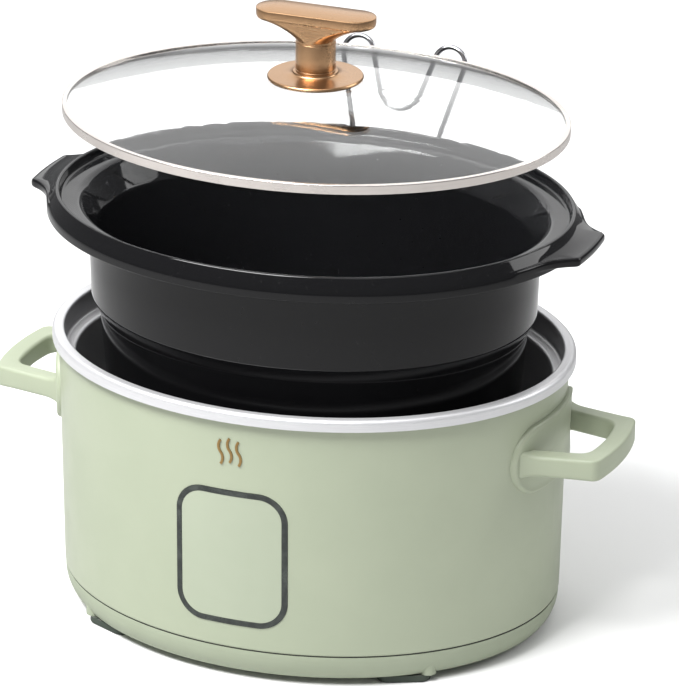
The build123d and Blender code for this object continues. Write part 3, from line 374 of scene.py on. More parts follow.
COAT_ROUGHNESS = 0.12
STREAK_SHARE = 0.16  # how far the brushing darkens a metal
STREAK_SHADE = 0.62
STREAK_ROUGHNESS = 0.10
SPECK_SHADE = 0.35
RUBBED_SHARE = 0.55
RUBBED_ROUGHNESS = -0.12
DUST_GREY = (0.62, 0.60, 0.56)
DUST_ROUGHNESS = 1.5


def dimmed(colour: Colour, share: float) -> Colour:
    """The colour with each part scaled by share."""
    return tuple(share * part for part in colour)


class Dressing(Protocol):
    """Anything that can be worn by a piece: it has a name and builds one material."""

    name: str

    def material(self) -> bpy.types.Material:
        """Builds the material."""


@dataclass(frozen=True)
class Finish:
    """An opaque finish with relief, handling marks, edge wear and dust.

    The colour turns to the shade in soft patches, and the roughness from its first value to its
    second. The pattern has relief_mm of depth over a slow waviness of wave_mm. Speck, dust and coat
    are shares from 0 to 1, and rubbed is the colour that edges wear to. A ring pattern follows an
    oval whose width over its length is ratio.
    """

    name: str
    colour: Colour
    shade: Colour
    roughness: tuple[float, float] = (0.35, 0.5)
    metallic: float = 0.0
    pattern: Pattern = Pattern.GRAIN
    relief_mm: float = 0.02
    grain_scale: float = 1400.0
    wave_mm: float = 0.0
    wave_scale: float = 30.0
    patch_scale: float = 16.0
    speck: float = 0.0
    rubbed: Colour | None = None
    dust: float = 0.04
    coat: float = 0.0
    ratio: float = 1.0
    lines: float = BRUSH_LINES

    def relief(self, w: Wiring) -> Socket:
        """The height of the fine pattern.

        Args:
            w: The material's wiring.

        Returns:
            A value from 0 to 1.
        """
        if self.pattern is Pattern.RING_BRUSHED:
            return GROUPS.place(w, GROUPS.ring_brush, Ratio=self.ratio, Lines=self.lines)["Streaks"]
        if self.pattern is Pattern.LONG_BRUSHED:
            return GROUPS.place(w, GROUPS.long_brush, Lines=self.lines)["Streaks"]
        if self.pattern is Pattern.WOVEN:
            return GROUPS.place(w, GROUPS.weave)["Threads"]
        return GROUPS.place(w, GROUPS.relief, Grain_scale=self.grain_scale)["Grain"]

    def material(self) -> bpy.types.Material:
        """Builds the finish.

        Returns:
            The material.
        """
        material, w, shader = blank_material(self.name)
        shader.inputs["Metallic"].default_value = self.metallic
        shader.inputs["Coat Weight"].default_value = self.coat
        shader.inputs["Coat Roughness"].default_value = COAT_ROUGHNESS
        handled = GROUPS.place(w, GROUPS.handling, Scale=self.patch_scale)
        worn = GROUPS.place(w, GROUPS.wear)
        relief = self.relief(w)
        colour = w.mix(handled["Patches"], self.colour, self.shade)
        rough = w.spread(handled["Patches"], 0.0, 1.0, *self.roughness)
        if self.metallic:
            streaked = w.maths("MULTIPLY", w.spread(relief, *STREAK_RANGE), STREAK_SHARE)
            colour = w.mix(streaked, colour, dimmed(self.shade, STREAK_SHADE))
            middle = w.maths("SUBTRACT", rough, STREAK_ROUGHNESS / 2)
            rough = w.maths("MULTIPLY_ADD", relief, STREAK_ROUGHNESS, middle)
        if self.speck:
            specks = w.maths("MULTIPLY", handled["Specks"], self.speck)
            colour = w.mix(specks, colour, dimmed(self.colour, SPECK_SHADE))
        if self.rubbed is not None:
            colour = w.mix(w.maths("MULTIPLY", worn["Edges"], RUBBED_SHARE), colour, self.rubbed)
            rough = w.maths("MULTIPLY_ADD", worn["Edges"], RUBBED_ROUGHNESS, rough)
        settled = w.maths("MULTIPLY", worn["Dust"], self.dust)
        colour = w.mix(settled, colour, DUST_GREY)
        rough = w.maths("ADD", rough, w.maths("MULTIPLY", settled, DUST_ROUGHNESS))
        w.tree.links.new(colour, shader.inputs["Base Color"])
        w.tree.links.new(rough, shader.inputs["Roughness"])
        under = None
        if self.wave_mm:
            waves = GROUPS.place(w, GROUPS.relief, Wave_scale=self.wave_scale)["Waves"]
            under = self.bump(w, waves, self.wave_mm)
        w.tree.links.new(self.bump(w, relief, self.relief_mm, under), shader.inputs["Normal"])
        return material

    @staticmethod
    def bump(w: Wiring, height: Socket, depth_mm: float, under: Socket | None = None) -> Socket:
        """A Bump node of a real depth.

        Args:
            w: The material's wiring.
            height: The height, 0 to 1.
            depth_mm: What a height of 1 stands for.
            under: The normal it is added to, if there is one.

        Returns:
            The new normal.
        """
        inputs = {"Height": height, "Distance": depth_mm * MM, "Strength": 1.0}
        if under is not None:
            inputs["Normal"] = under
        return w.add("ShaderNodeBump", inputs).outputs[0]


@dataclass(frozen=True)
class Glaze:
    """Thick black stoneware glaze, thinner and browner on its edges."""

    name: str = "crock_black_glaze"
    colour: Colour = (0.0045, 0.0045, 0.005)
    thin: Colour = (0.016, 0.012, 0.010)
    speck: Colour = (0.02, 0.02, 0.02)
    dust: Colour = (0.5, 0.5, 0.5)
    thin_share: float = 0.7
    speck_share: float = 0.3
    dust_share: float = 0.01
    ior: float = 1.36
    roughness: tuple[float, float] = (0.035, 0.085)
    wave_mm: float = 0.35
    grain_mm: float = 0.006

    def material(self) -> bpy.types.Material:
        """Builds the glaze.

        Returns:
            The material.
        """
        material, w, shader = blank_material(self.name)
        shader.inputs["IOR"].default_value = self.ior
        handled = GROUPS.place(w, GROUPS.handling, Scale=11.0, Speck_scale=420.0)
        worn = GROUPS.place(w, GROUPS.wear, Edge_low=0.52, Edge_high=0.62)
        colour = w.mix(w.maths("MULTIPLY", worn["Edges"], self.thin_share), self.colour, self.thin)
        colour = w.mix(w.maths("MULTIPLY", handled["Specks"], self.speck_share), colour, self.speck)
        colour = w.mix(w.maths("MULTIPLY", worn["Dust"], self.dust_share), colour, self.dust)
        rough = w.spread(handled["Patches"], 0.0, 1.0, *self.roughness)
        w.tree.links.new(colour, shader.inputs["Base Color"])
        w.tree.links.new(rough, shader.inputs["Roughness"])
        relief = GROUPS.place(w, GROUPS.relief, Grain_scale=240.0, Wave_scale=22.0)
        normal = Finish.bump(w, relief["Waves"], self.wave_mm)
        normal = Finish.bump(w, relief["Grain"], self.grain_mm, normal)
        w.tree.links.new(normal, shader.inputs["Normal"])
        return material


@dataclass(frozen=True)
class ClearGlass:
    """Tempered glass, faintly green, with wiped streaks; it lets light through to what is under it."""

    name: str = "lid_tempered_glass"
    colour: Colour = (0.955, 0.962, 0.958)
    frost: float = 0.0
    streak: Colour = (0.930, 0.940, 0.932)
    streak_share: float = 0.5
    shadow: tuple[float, float, float, float] = (0.93, 0.95, 0.94, 1.0)
    ior: float = 1.5
    streak_frost: float = 0.03
    wave_mm: float = 0.12

    def material(self) -> bpy.types.Material:
        """Builds the glass.

        Returns:
            The material.
        """
        material, w, shader = blank_material(self.name)
        shader.inputs["Transmission Weight"].default_value = 1.0
        shader.inputs["Metallic"].default_value = 0.0
        shader.inputs["IOR"].default_value = self.ior
        handled = GROUPS.place(w, GROUPS.handling, Scale=26.0)
        tint = w.mix(w.maths("MULTIPLY", handled["Patches"], self.streak_share), self.colour, self.streak)
        rough = w.spread(handled["Patches"], 0.0, 1.0, self.frost, self.frost + self.streak_frost)
        w.tree.links.new(tint, shader.inputs["Base Color"])
        w.tree.links.new(rough, shader.inputs["Roughness"])
        waves = GROUPS.place(w, GROUPS.relief, Wave_scale=9.0)["Waves"]
        w.tree.links.new(Finish.bump(w, waves, self.wave_mm), shader.inputs["Normal"])
        clear = w.add("ShaderNodeBsdfTransparent", {"Color": self.shadow})
        shading = w.add("ShaderNodeLightPath").outputs["Is Shadow Ray"]
        both = w.add("ShaderNodeMixShader", {0: shading, 1: shader.outputs[0], 2: clear.outputs[0]})
        end = next(n for n in w.tree.nodes if n.type == "OUTPUT_MATERIAL")
        w.tree.links.new(both.outputs[0], end.inputs["Surface"])
        return material


@dataclass(frozen=True)
class LinerMetal:
    """Aluminium: a bright brushed rim and ledge, and a dark coated well below them; the well's grey is
    painted lighter than the real coating, as painted light for the shade the crock casts in it.
    """

    name: str = "liner_rim_and_coated_well"
    bright: Colour = (0.66, 0.66, 0.67)
    streak: Colour = (0.52, 0.52, 0.54)
    streak_share: float = 0.4
    # painted light: the coating grey is set lighter than the real coating, making up for the shade the crock
    # casts in the well
    coating: Colour = (0.42, 0.42, 0.43)
    coating_light: float = 1.25
    dust: Colour = (0.5, 0.5, 0.5)
    dust_share: float = 0.08
    metallic: tuple[float, float] = (0.15, 0.55)
    coating_roughness: tuple[float, float] = (0.36, 0.48)
    bright_roughness: tuple[float, float] = (0.30, 0.22)
    band: float = 9.6
    step_drop: float = 16.5
    ledge_bright: float = 0.9
    wave_mm: float = 0.25
    streak_mm: float = 0.008

    def bare_metal(self, w: Wiring, radius: Socket) -> Socket:
        """Where the metal is bare: the rolled rim and the ledge.

        Args:
            w: The material's wiring.
            radius: Distance from the axis, in metres.

        Returns:
            1 on bare metal and 0 on the coating.
        """
        place = w.add("ShaderNodeTexCoord").outputs["Object"]
        height = w.add("ShaderNodeSeparateXYZ", {0: place}).outputs[2]
        inner = RIM_A - self.band
        step = RIM_TOP - self.step_drop
        past_band = w.spread(radius, (inner - 0.4) * MM, (inner + 0.6) * MM)
        outside = w.spread(radius, (inner + 4.0) * MM, (inner + 5.0) * MM)
        high = w.spread(height, (RIM_TOP - 2.6) * MM, (RIM_TOP - 1.4) * MM)
        over_step = w.spread(height, (step - 4.5) * MM, (step - 3.0) * MM)
        under_wall = w.spread(height, (step + 2.2) * MM, (step + 0.8) * MM)
        roll = w.maths("MULTIPLY", past_band, w.maths("MAXIMUM", high, outside))
        ledge = w.maths("MULTIPLY", over_step, under_wall)
        return w.maths("MAXIMUM", roll, w.maths("MULTIPLY", ledge, self.ledge_bright))

    def material(self) -> bpy.types.Material:
        """Builds the two-tone metal.

        Returns:
            The material.
        """
        material, w, shader = blank_material(self.name)
        brushed = GROUPS.place(w, GROUPS.ring_brush)
        handled = GROUPS.place(w, GROUPS.handling, Scale=14.0)
        worn = GROUPS.place(w, GROUPS.wear)
        bare = self.bare_metal(w, brushed["Radius"])
        streaks = w.maths("MULTIPLY", w.spread(brushed["Streaks"], *STREAK_RANGE), self.streak_share)
        steel = w.mix(streaks, self.bright, self.streak)
        # the well's colour: real coating tone with random patches, painted lighter overall for the well's
        # shade
        dark = w.mix(handled["Patches"], self.coating, dimmed(self.coating, self.coating_light))
        dark = w.mix(w.maths("MULTIPLY", worn["Dust"], self.dust_share), dark, self.dust)
        w.tree.links.new(w.mix(bare, dark, steel), shader.inputs["Base Color"])
        w.tree.links.new(w.spread(bare, 0.0, 1.0, *self.metallic), shader.inputs["Metallic"])
        smoothest, streaked = self.bright_roughness
        bright_rough = w.maths("MULTIPLY_ADD", brushed["Streaks"], streaked, smoothest)
        dark_rough = w.spread(handled["Patches"], 0.0, 1.0, *self.coating_roughness)
        rough = w.maths("ADD", w.maths("MULTIPLY", bare, bright_rough),
                        w.maths("MULTIPLY", w.maths("SUBTRACT", 1.0, bare), dark_rough))
        w.tree.links.new(rough, shader.inputs["Roughness"])
        waves = GROUPS.place(w, GROUPS.relief, Wave_scale=16.0)["Waves"]
        normal = Finish.bump(w, waves, self.wave_mm)
        normal = Finish.bump(w, brushed["Streaks"], self.streak_mm, normal)
        w.tree.links.new(normal, shader.inputs["Normal"])
        return material


SAGE = (0.312, 0.346, 0.252)
SAGE_SHADE = (0.302, 0.337, 0.244)
ROSE_GOLD = (0.470, 0.285, 0.155)
ROSE_SHADE = (0.475, 0.287, 0.158)
ROSE_RUBBED = (0.90, 0.66, 0.46)

ENAMEL = Finish("shell_sage_enamel", SAGE, SAGE_SHADE, (0.34, 0.44), relief_mm=0.010, grain_scale=700.0,
                wave_mm=0.10, wave_scale=12.0, coat=0.12, speck=0.05, dust=0.03)
MOULDED_SAGE = Finish("moulded_sage_plastic", SAGE, SAGE_SHADE, (0.42, 0.54), relief_mm=0.014,
                      grain_scale=1500.0, wave_mm=0.05, wave_scale=20.0, rubbed=(0.38, 0.42, 0.32))
PAN_SAGE = Finish("pan_sage_plastic", (0.282, 0.316, 0.230), (0.270, 0.304, 0.220), (0.45, 0.58),
                  relief_mm=0.016, grain_scale=1300.0, rubbed=(0.37, 0.41, 0.31))
PANEL_FACE = Finish("touch_panel_face", (0.315, 0.350, 0.262), (0.304, 0.340, 0.252), (0.16, 0.24),
                    relief_mm=0.002, grain_scale=500.0, wave_mm=0.05, wave_scale=14.0, coat=0.5)
PANEL_RING = Finish("panel_outline_dark", (0.012, 0.016, 0.014), (0.017, 0.021, 0.019), (0.30, 0.42),
                    relief_mm=0.004, grain_scale=900.0, dust=0.01, rubbed=(0.06, 0.07, 0.06))
EMBLEM_GOLD = Finish("emblem_gold", (0.400, 0.260, 0.105), (0.330, 0.210, 0.085), (0.26, 0.38), 1.0,
                     Pattern.LONG_BRUSHED, relief_mm=0.004)
FOOT_RUBBER = Finish("foot_dark_green_rubber", (0.035, 0.048, 0.036), (0.050, 0.062, 0.048), (0.65, 0.85),
                     relief_mm=0.03, grain_scale=900.0, dust=0.35)
# painted shade: the seal is near-black so the seam between shell and pan shows as a dark line, which on the
# cooker is shade in the seam rather than a visible gasket
SEAM_SEAL_PAINTED_SHADE = Finish("seam_seal_painted_shade", (0.012, 0.012, 0.012), (0.020, 0.020, 0.019), (0.6, 0.8),
                     relief_mm=0.02, dust=0.15)
GLAND_BLACK = Finish("gland_black_nylon", (0.018, 0.018, 0.019), (0.028, 0.028, 0.028), (0.42, 0.6),
                     relief_mm=0.02, rubbed=(0.09, 0.09, 0.09))
INNER_BLACK = Finish("inner_black_moulding", (0.020, 0.020, 0.022), (0.032, 0.032, 0.034), (0.5, 0.7),
                     relief_mm=0.03, dust=0.2)
LID_STEEL = Finish("lid_band_steel", (0.80, 0.745, 0.705), (0.72, 0.67, 0.635), (0.22, 0.32), 1.0,
                   Pattern.RING_BRUSHED, relief_mm=0.004, ratio=0.822)
KNOB_RING = Finish("knob_turned_rose_gold", ROSE_GOLD, ROSE_SHADE, (0.26, 0.34), 1.0,
                   Pattern.RING_BRUSHED, relief_mm=0.002, dust=0.01, rubbed=ROSE_RUBBED)
KNOB_LONG = Finish("knob_grip_rose_gold", ROSE_GOLD, ROSE_SHADE, (0.26, 0.34), 1.0,
                   Pattern.LONG_BRUSHED, relief_mm=0.0015, dust=0.01, rubbed=ROSE_RUBBED)
WIRE_PLATE = Finish("lid_rest_bright_plate", (0.46, 0.46, 0.48), (0.38, 0.38, 0.40), (0.12, 0.20), 1.0,
                    relief_mm=0.002, grain_scale=400.0, dust=0.02)
ZINC = Finish("zinc_plated_steel", (0.62, 0.62, 0.63), (0.50, 0.50, 0.52), (0.28, 0.45), 1.0,
              relief_mm=0.01, grain_scale=800.0, rubbed=(0.75, 0.75, 0.76))
SCREW_ZINC = Finish("screw_zinc", (0.56, 0.56, 0.58), (0.46, 0.46, 0.49), (0.25, 0.4), 1.0,
                    relief_mm=0.01, grain_scale=1100.0, rubbed=(0.74, 0.74, 0.75))
SLEEVE = Finish("glass_fibre_sleeve", (0.70, 0.68, 0.60), (0.60, 0.57, 0.48), (0.75, 0.9), 0.0,
                Pattern.WOVEN, relief_mm=0.25, dust=0.1)
CLEAR_SILICONE = ClearGlass("lid_clear_silicone", (0.99, 0.99, 0.985), 0.10)
BOARD_GREEN = Finish("circuit_board_green", (0.010, 0.090, 0.035), (0.008, 0.070, 0.028), (0.3, 0.42),
                     relief_mm=0.02, grain_scale=500.0, speck=0.4, dust=0.1)
RELAY_BLUE = Finish("relay_blue_case", (0.012, 0.040, 0.170), (0.010, 0.032, 0.130), (0.35, 0.5),
                    relief_mm=0.01, dust=0.1)
CORE_VARNISH = Finish("transformer_varnished_core", (0.130, 0.070, 0.018), (0.200, 0.120, 0.030),
                      (0.3, 0.5), 0.0, Pattern.LONG_BRUSHED, relief_mm=0.05, lines=2000.0)
CAPACITOR_SLEEVE = Finish("capacitor_sleeve", (0.012, 0.014, 0.030), (0.018, 0.020, 0.040), (0.25, 0.35),
                          relief_mm=0.004)
SENSOR_CREAM = Finish("sensor_cream_body", (0.56, 0.52, 0.40), (0.48, 0.44, 0.34), (0.5, 0.65),
                      relief_mm=0.02)
FUSE_METAL = Finish("fuse_drawn_case", (0.66, 0.66, 0.67), (0.55, 0.55, 0.56), (0.25, 0.35), 1.0,
                    Pattern.LONG_BRUSHED, relief_mm=0.004)

DRESS: dict[str, Dressing] = {
    "outer_shell": ENAMEL, "heating_liner": LinerMetal(), "base_pan": PAN_SAGE, "base_seal": SEAM_SEAL_PAINTED_SHADE,
    "feet": FOOT_RUBBER, "pan_screws": SCREW_ZINC, "handle_backing_left": ZINC,
    "handle_backing_right": ZINC, "handle_screws": SCREW_ZINC, "panel_outline": PANEL_RING,
    "touch_panel": PANEL_FACE, "panel_tray": INNER_BLACK, "control_board": BOARD_GREEN,
    "board_screws": SCREW_ZINC, "front_emblem": EMBLEM_GOLD, "heater_band": ZINC,
    "insulation_sleeve": SLEEVE, "band_clamp": ZINC, "thermal_fuse": FUSE_METAL, "fuse_clip": ZINC,
    "temperature_sensor": SENSOR_CREAM, "sensor_strap": ZINC, "tie_boss": ZINC, "tie_bolt": SCREW_ZINC,
    "tie_nut": SCREW_ZINC, "power_board": BOARD_GREEN, "power_board_screws": SCREW_ZINC,
    "relay": RELAY_BLUE, "transformer": CORE_VARNISH, "capacitors": CAPACITOR_SLEEVE,
    "terminal_block": INNER_BLACK, "cord_gland": GLAND_BLACK, "gland_nut": GLAND_BLACK,
    "rest_socket": MOULDED_SAGE, "socket_screws": SCREW_ZINC, "lid_glass": ClearGlass(),
    "lid_rim": LID_STEEL, "lid_seal": CLEAR_SILICONE, "knob_screw": SCREW_ZINC, "knob_washer": ZINC,
    "knob_seal": CLEAR_SILICONE, "lid_rest": WIRE_PLATE,
}


class Wardrobe:
    """Makes each finish's material once and hands it out."""

    def __init__(self) -> None:
        """Starts with nothing made."""
        self.made: dict[str, bpy.types.Material] = {}

    def get(self, finish: Dressing) -> bpy.types.Material:
        """The finish's material.

        Args:
            finish: One of the finishes above.

        Returns:
            Its material, built when it is first asked for.
        """
        if finish.name not in self.made:
            self.made[finish.name] = finish.material()
        return self.made[finish.name]


WARDROBE = Wardrobe()


# --- meshes ----------------------------------------------------------------------------------
ARC_STEP = 14.0  # the largest turn between two points of a rounded corner, in degrees
NEARLY_STRAIGHT = pi - 0.01
WELD = 0.0005


def rounded_line(corners: Sequence[tuple[float, float, float]]) -> list[Vector]:
    """A line through corners, each replaced by an arc of its own radius.

    Args:
        corners: Radius from the axis, height and corner radius, in millimetres.

    Returns:
        The line's points, with z in their third number.
    """
    line = [Vector((corners[0][0], 0, corners[0][1]))]
    for before, here, after in zip(corners, corners[1:], corners[2:]):
        p = Vector((here[0], 0, here[1]))
        to_last = (Vector((before[0], 0, before[1])) - p).normalized()
        to_next = (Vector((after[0], 0, after[1])) - p).normalized()
        opening = to_last.angle(to_next)
        if here[2] <= 0 or opening > NEARLY_STRAIGHT:
            line.append(p)
            continue
        back = here[2] / sqrt((1 - cos(opening)) / (1 + cos(opening)))
        start, end = p + to_last * back, p + to_next * back
        centre = p + (to_last + to_next).normalized() * hypot(here[2], back)
        turn = pi - opening
        count = max(2, round(turn / radians(ARC_STEP)))
        first = start - centre
        for index in range(count + 1):
            share = index / count
            weight_start = sin((1 - share) * turn) / sin(turn)
            weight_end = sin(share * turn) / sin(turn)
            line.append(centre + first * weight_start + (end - centre) * weight_end)
    line.append(Vector((corners[-1][0], 0, corners[-1][1])))
    return line


def spun(line: Sequence[Vector], steps: int) -> bmesh.types.BMesh:
    """Spins a line about the upright axis.

    Args:
        line: The line's points in millimetres, from pole to pole.
        steps: How many steps the full turn takes.

    Returns:
        The new bmesh, still about the axis at the origin, in millimetres.
    """
    bm = bmesh.new()
    verts = [bm.verts.new(point) for point in line]
    edges = [bm.edges.new(pair) for pair in zip(verts, verts[1:])]
    bmesh.ops.spin(bm, geom=verts + edges, cent=(0, 0, 0), axis=(0, 0, 1), dvec=(0, 0, 0), angle=2 * pi,
                   steps=steps, use_merge=True, use_normal_flip=False, use_duplicate=False)
    bmesh.ops.remove_doubles(bm, verts=bm.verts, dist=WELD)
    return bm


def loop_edges(bm: bmesh.types.BMesh, loop: Sequence[bmesh.types.BMVert]) -> list[bmesh.types.BMEdge]:
    """The edges that join a closed loop of vertices, in order."""
    return [bm.edges.get(pair) for pair in zip(loop, [*loop[1:], loop[0]])]


def skinned(rings: Sequence[Ring], close_first: bool = True) -> bmesh.types.BMesh:
    """Extrudes one ring after another and fills the last.

    Args:
        rings: Rings with the same number of points, in order.
        close_first: Whether the first ring is filled too.

    Returns:
        The new bmesh.
    """
    bm = bmesh.new()
    bmesh.ops.create_circle(bm, segments=len(rings[0]), radius=1.0, cap_ends=False)
    current = list(bm.verts)
    for vert, point in zip(current, rings[0]):
        vert.co = point
    edges = loop_edges(bm, current)
    ends = [edges] if close_first else []
    for ring in rings[1:]:
        made = bmesh.ops.extrude_edge_only(bm, edges=edges)["geom"]
        fresh = {v for v in made if isinstance(v, bmesh.types.BMVert)}
        current = [next(e.other_vert(vert) for e in vert.link_edges if e.other_vert(vert) in fresh)
                   for vert in current]
        for vert, point in zip(current, ring):
            vert.co = point
        edges = loop_edges(bm, current)
    for end in [*ends, edges]:
        bmesh.ops.edgeloop_fill(bm, edges=end)
    return bm


def finished(bm: bmesh.types.BMesh, name: str, body: str, finish: Dressing,
             nodes: Sequence[str], sharp_deg: float = 38.0) -> bpy.types.Object:
    """Turns a bmesh into a finished piece on its body.

    Args:
        bm: The mesh, in millimetres about the ovals' axis.
        name: The piece's name.
        body: The body it rides on.
        finish: Its finish.
        nodes: The solids that it stands for.
        sharp_deg: Edges that turn more than this stay crisp.

    Returns:
        The new object.
    """
    bmesh.ops.recalc_face_normals(bm, faces=bm.faces)
    bmesh.ops.translate(bm, vec=(0, AXIS_Y, 0), verts=bm.verts)
    bmesh.ops.scale(bm, vec=(MM, MM, MM), verts=bm.verts)
    mesh = bpy.data.meshes.new(name)
    bm.to_mesh(mesh)
    bm.free()
    mesh.shade_smooth()
    mesh.set_sharp_from_angle(angle=radians(sharp_deg))
    mesh.materials.append(WARDROBE.get(finish))
    piece = bpy.data.objects.new(name, mesh)
    bpy.context.scene.collection.objects.link(piece)
    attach(piece, body)
    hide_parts(*nodes)
    log.info("%s: %d faces on %s", name, len(mesh.polygons), body)
    return piece


def node_box(node: str) -> tuple[Vector, Vector]:
    """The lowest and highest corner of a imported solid, in millimetres."""
    low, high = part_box(node)
    return low / MM, high / MM


def smoothstep(low: float, high: float, value: float) -> float:
    """Rises smoothly from 0 at low to 1 at high."""
    share = min(1.0, max(0.0, (value - low) / (high - low)))
    return share * share * (3 - 2 * share)


# --- sub-assemblies --------------------------------------------------------------------------
CROCK_LOW, CROCK_HIGH = node_box("crock")


@dataclass
class Crock:
    """The stoneware pot, as one glazed skin with its lugs drawn out of the rim."""

    rim_a: float = (CROCK_HIGH.y - CROCK_LOW.y) / 2 / OVAL
    tip: float = CROCK_HIGH.x
    crest_z: float = CROCK_HIGH.z
    foot_z: float = CROCK_LOW.z
    crest: float = 16.3  # the rim's height over its own underside
    crest_inset: float = 6.4
    shoulder_inset: float = 2.1
    shoulder_z: float = 9.7
    lip_low: float = 3.0
    lip_width: float = 9.0
    bead: float = 9.6
    bead_draft: float = 0.6
    ledge_drop: float = 6.8
    ledge_width: float = 13.5
    overhang: float = 29.0
    wall: float = 7.0
    wall_draft: float = 1.5
    waist_draft: float = 0.7
    waist_drop: float = 30.0
    step_drop: float = 57.0
    step: float = 6.0
    step_fall: float = 11.0
    foot_taper: float = 14.5
    foot_width: float = 24.0
    foot_slope: float = 3.0
    foot_hollow: float = 2.0
    mouth_drop: float = 9.0
    bowl_draft: float = 6.0
    bowl_drop: float = 70.0
    bowl_floor: float = 9.0
    foot_edge_round: float = 1.0
    foot_round: float = 14.0
    step_low_round: float = 7.0
    step_round: float = 5.0
    neck_round: float = 7.0
    lip_round: float = 1.4
    crest_outer_round: float = 1.8
    crest_inner_round: float = 1.3
    ledge_round: float = 2.2
    ledge_edge_round: float = 6.0
    mouth_round: float = 9.0
    floor_round: float = 26.0
    lug_half: float = 26.0
    lug_flare: float = 66.0
    lug_bow: float = 1.5
    lug_corner: tuple[float, float] = (20.5, 29.0)
    flare_power: float = 4.4
    steps: int = 384
    row_match: float = 0.05
    gather: float = 0.25  # how strongly the steps crowd towards the two ends
    sharp_deg: float = 60.0

    def outline(self) -> list[Vector]:
        """The section from the middle of the underside, up outside and down to the floor inside.

        Returns:
            The section's points.
        """
        z = self.crest_z - self.crest
        foot = self.foot_z - z
        body = self.rim_a - self.overhang
        low = body - self.foot_taper
        ledge = self.rim_a - self.bead
        ledge_z = self.crest - self.ledge_drop
        bowl = body - self.wall
        ring = low - self.foot_width
        below = [(0, foot + self.foot_hollow, 0),
                 (ring - self.foot_slope, foot + self.foot_hollow, self.foot_edge_round),
                 (ring, foot, self.foot_edge_round),
                 (low, foot, self.foot_round),
                 (body - self.wall_draft - self.step, -self.step_drop - self.step_fall, self.step_low_round),
                 (body - self.wall_draft, -self.step_drop, self.step_round),
                 (body - self.waist_draft, -self.waist_drop, 0),
                 (body, 0, self.neck_round),
                 (self.rim_a - self.lip_width, 0, 0),
                 (self.rim_a, 0, self.lip_round),
                 (self.rim_a, self.lip_low, 0)]
        over = [(self.rim_a - self.shoulder_inset, self.shoulder_z, 0),
                (self.rim_a - self.crest_inset, self.crest, self.crest_outer_round),
                (ledge + self.bead_draft, self.crest, self.crest_inner_round),
                (ledge, ledge_z, self.ledge_round),
                (ledge - self.ledge_width, ledge_z, self.ledge_edge_round),
                (bowl, -self.mouth_drop, self.mouth_round),
                (bowl - self.bowl_draft, -self.bowl_drop, 0),
                (low - self.wall, foot + self.bowl_floor, self.floor_round),
                (0, foot + self.bowl_floor, 0)]
        rows = [Vector((a, 0, up)) for a, up, _ in self.lug_rows()]
        line = rounded_line(below) + rows + rounded_line(over)
        return [Vector((point.x, 0, point.z + z)) for point in line]

    def lug_rows(self) -> list[tuple[float, float, float]]:
        """The rows of the rim that the lugs are drawn out of.

        Returns:
            Each row's distance from the axis, its height over the rim's underside and how far it
            stays inside the lug's edge.
        """
        a = self.rim_a
        return [(a, 3.25, 2.8), (a, 3.45, 1.3), (a, 4.1, 0.35), (a, 5.2, 0.0), (a - 0.5, 7.3, 0.0),
                (a - 1.37, 8.6, 0.35), (a - 1.83, 9.3, 1.3), (a - 2.0, 9.58, 2.8)]

    def oval_x(self, y: float) -> float:
        """X of the rim's plain oval at a distance y from the pot's long axis."""
        return self.rim_a * sqrt(1 - (y / (self.rim_a * OVAL)) ** 2)

    def reach(self, y: float) -> float:
        """How far the lug's edge stands out in X.

        Args:
            y: Distance from the pot's long axis.

        Returns:
            The edge's X, or 0 past the flare.
        """
        y = abs(y)
        if y >= self.lug_flare:
            return 0.0
        oval = self.oval_x(y)
        straight = self.tip - self.lug_bow * (y / self.lug_half) ** 2 - oval
        full = self.tip - self.lug_bow - self.oval_x(self.lug_half)
        share = max(0.0, (y - self.lug_half) / (self.lug_flare - self.lug_half))
        flare = full * (1 - share) ** self.flare_power
        return oval + straight + (flare - straight) * smoothstep(*self.lug_corner, y)

    def build(self) -> None:
        """Spins the pot, gathers its points towards the ends and draws the lugs out."""
        bm = spun(self.outline(), self.steps)
        z = self.crest_z - self.crest
        rows = {round(up, 2): (a, inset) for a, up, inset in self.lug_rows()}
        for vert in bm.verts:
            radius = hypot(vert.co.x, vert.co.y)
            turn = atan2(vert.co.y, vert.co.x)
            turn -= self.gather * sin(2 * turn)
            vert.co.x = radius * cos(turn)
            vert.co.y = radius * sin(turn) * OVAL
            row = rows.get(round(vert.co.z - z, 2))
            if row is None or abs(radius - row[0]) > self.row_match:
                continue
            edge = self.reach(vert.co.y) - row[1]
            if edge > abs(vert.co.x):
                vert.co.x = edge if vert.co.x > 0 else -edge
        finished(bm, "crock_pot", "crock", Glaze(), ["crock"], self.sharp_deg)


HANDLE_LOW, HANDLE_HIGH = node_box("handle_right")
SHELL_LOW, SHELL_HIGH = node_box("outer_shell")
SEAM_SET_BACK = 0.9  # how far the seal lies inside the shell's lower edge
PLATE_STEPS = 160
PLATE_EDGE = ((0.0, -0.4), (0.0, 1.5), (0.12, 2.3), (0.5, 2.95), (1.1, 3.35), (1.9, 3.4), (2.7, 3.22),
              (3.6, 3.0))  # the rolled edge: how far inside the outline, and how far off the shell
PLATE_FLAT = 2.95
PLATE_INSETS = (5.5, 9.0, 13.0, 17.0, 21.0, 25.3)  # rows of the flat, which follow the shell's curve
ARM_ROWS, KNEE_ROWS, GRIP_ROWS = 16, 8, 14
SHARPER_FROM, SHARPER_TO = 14, 20  # the rows between which the arms' soft edge turns to the grip's
EDGE_POINTS = 7


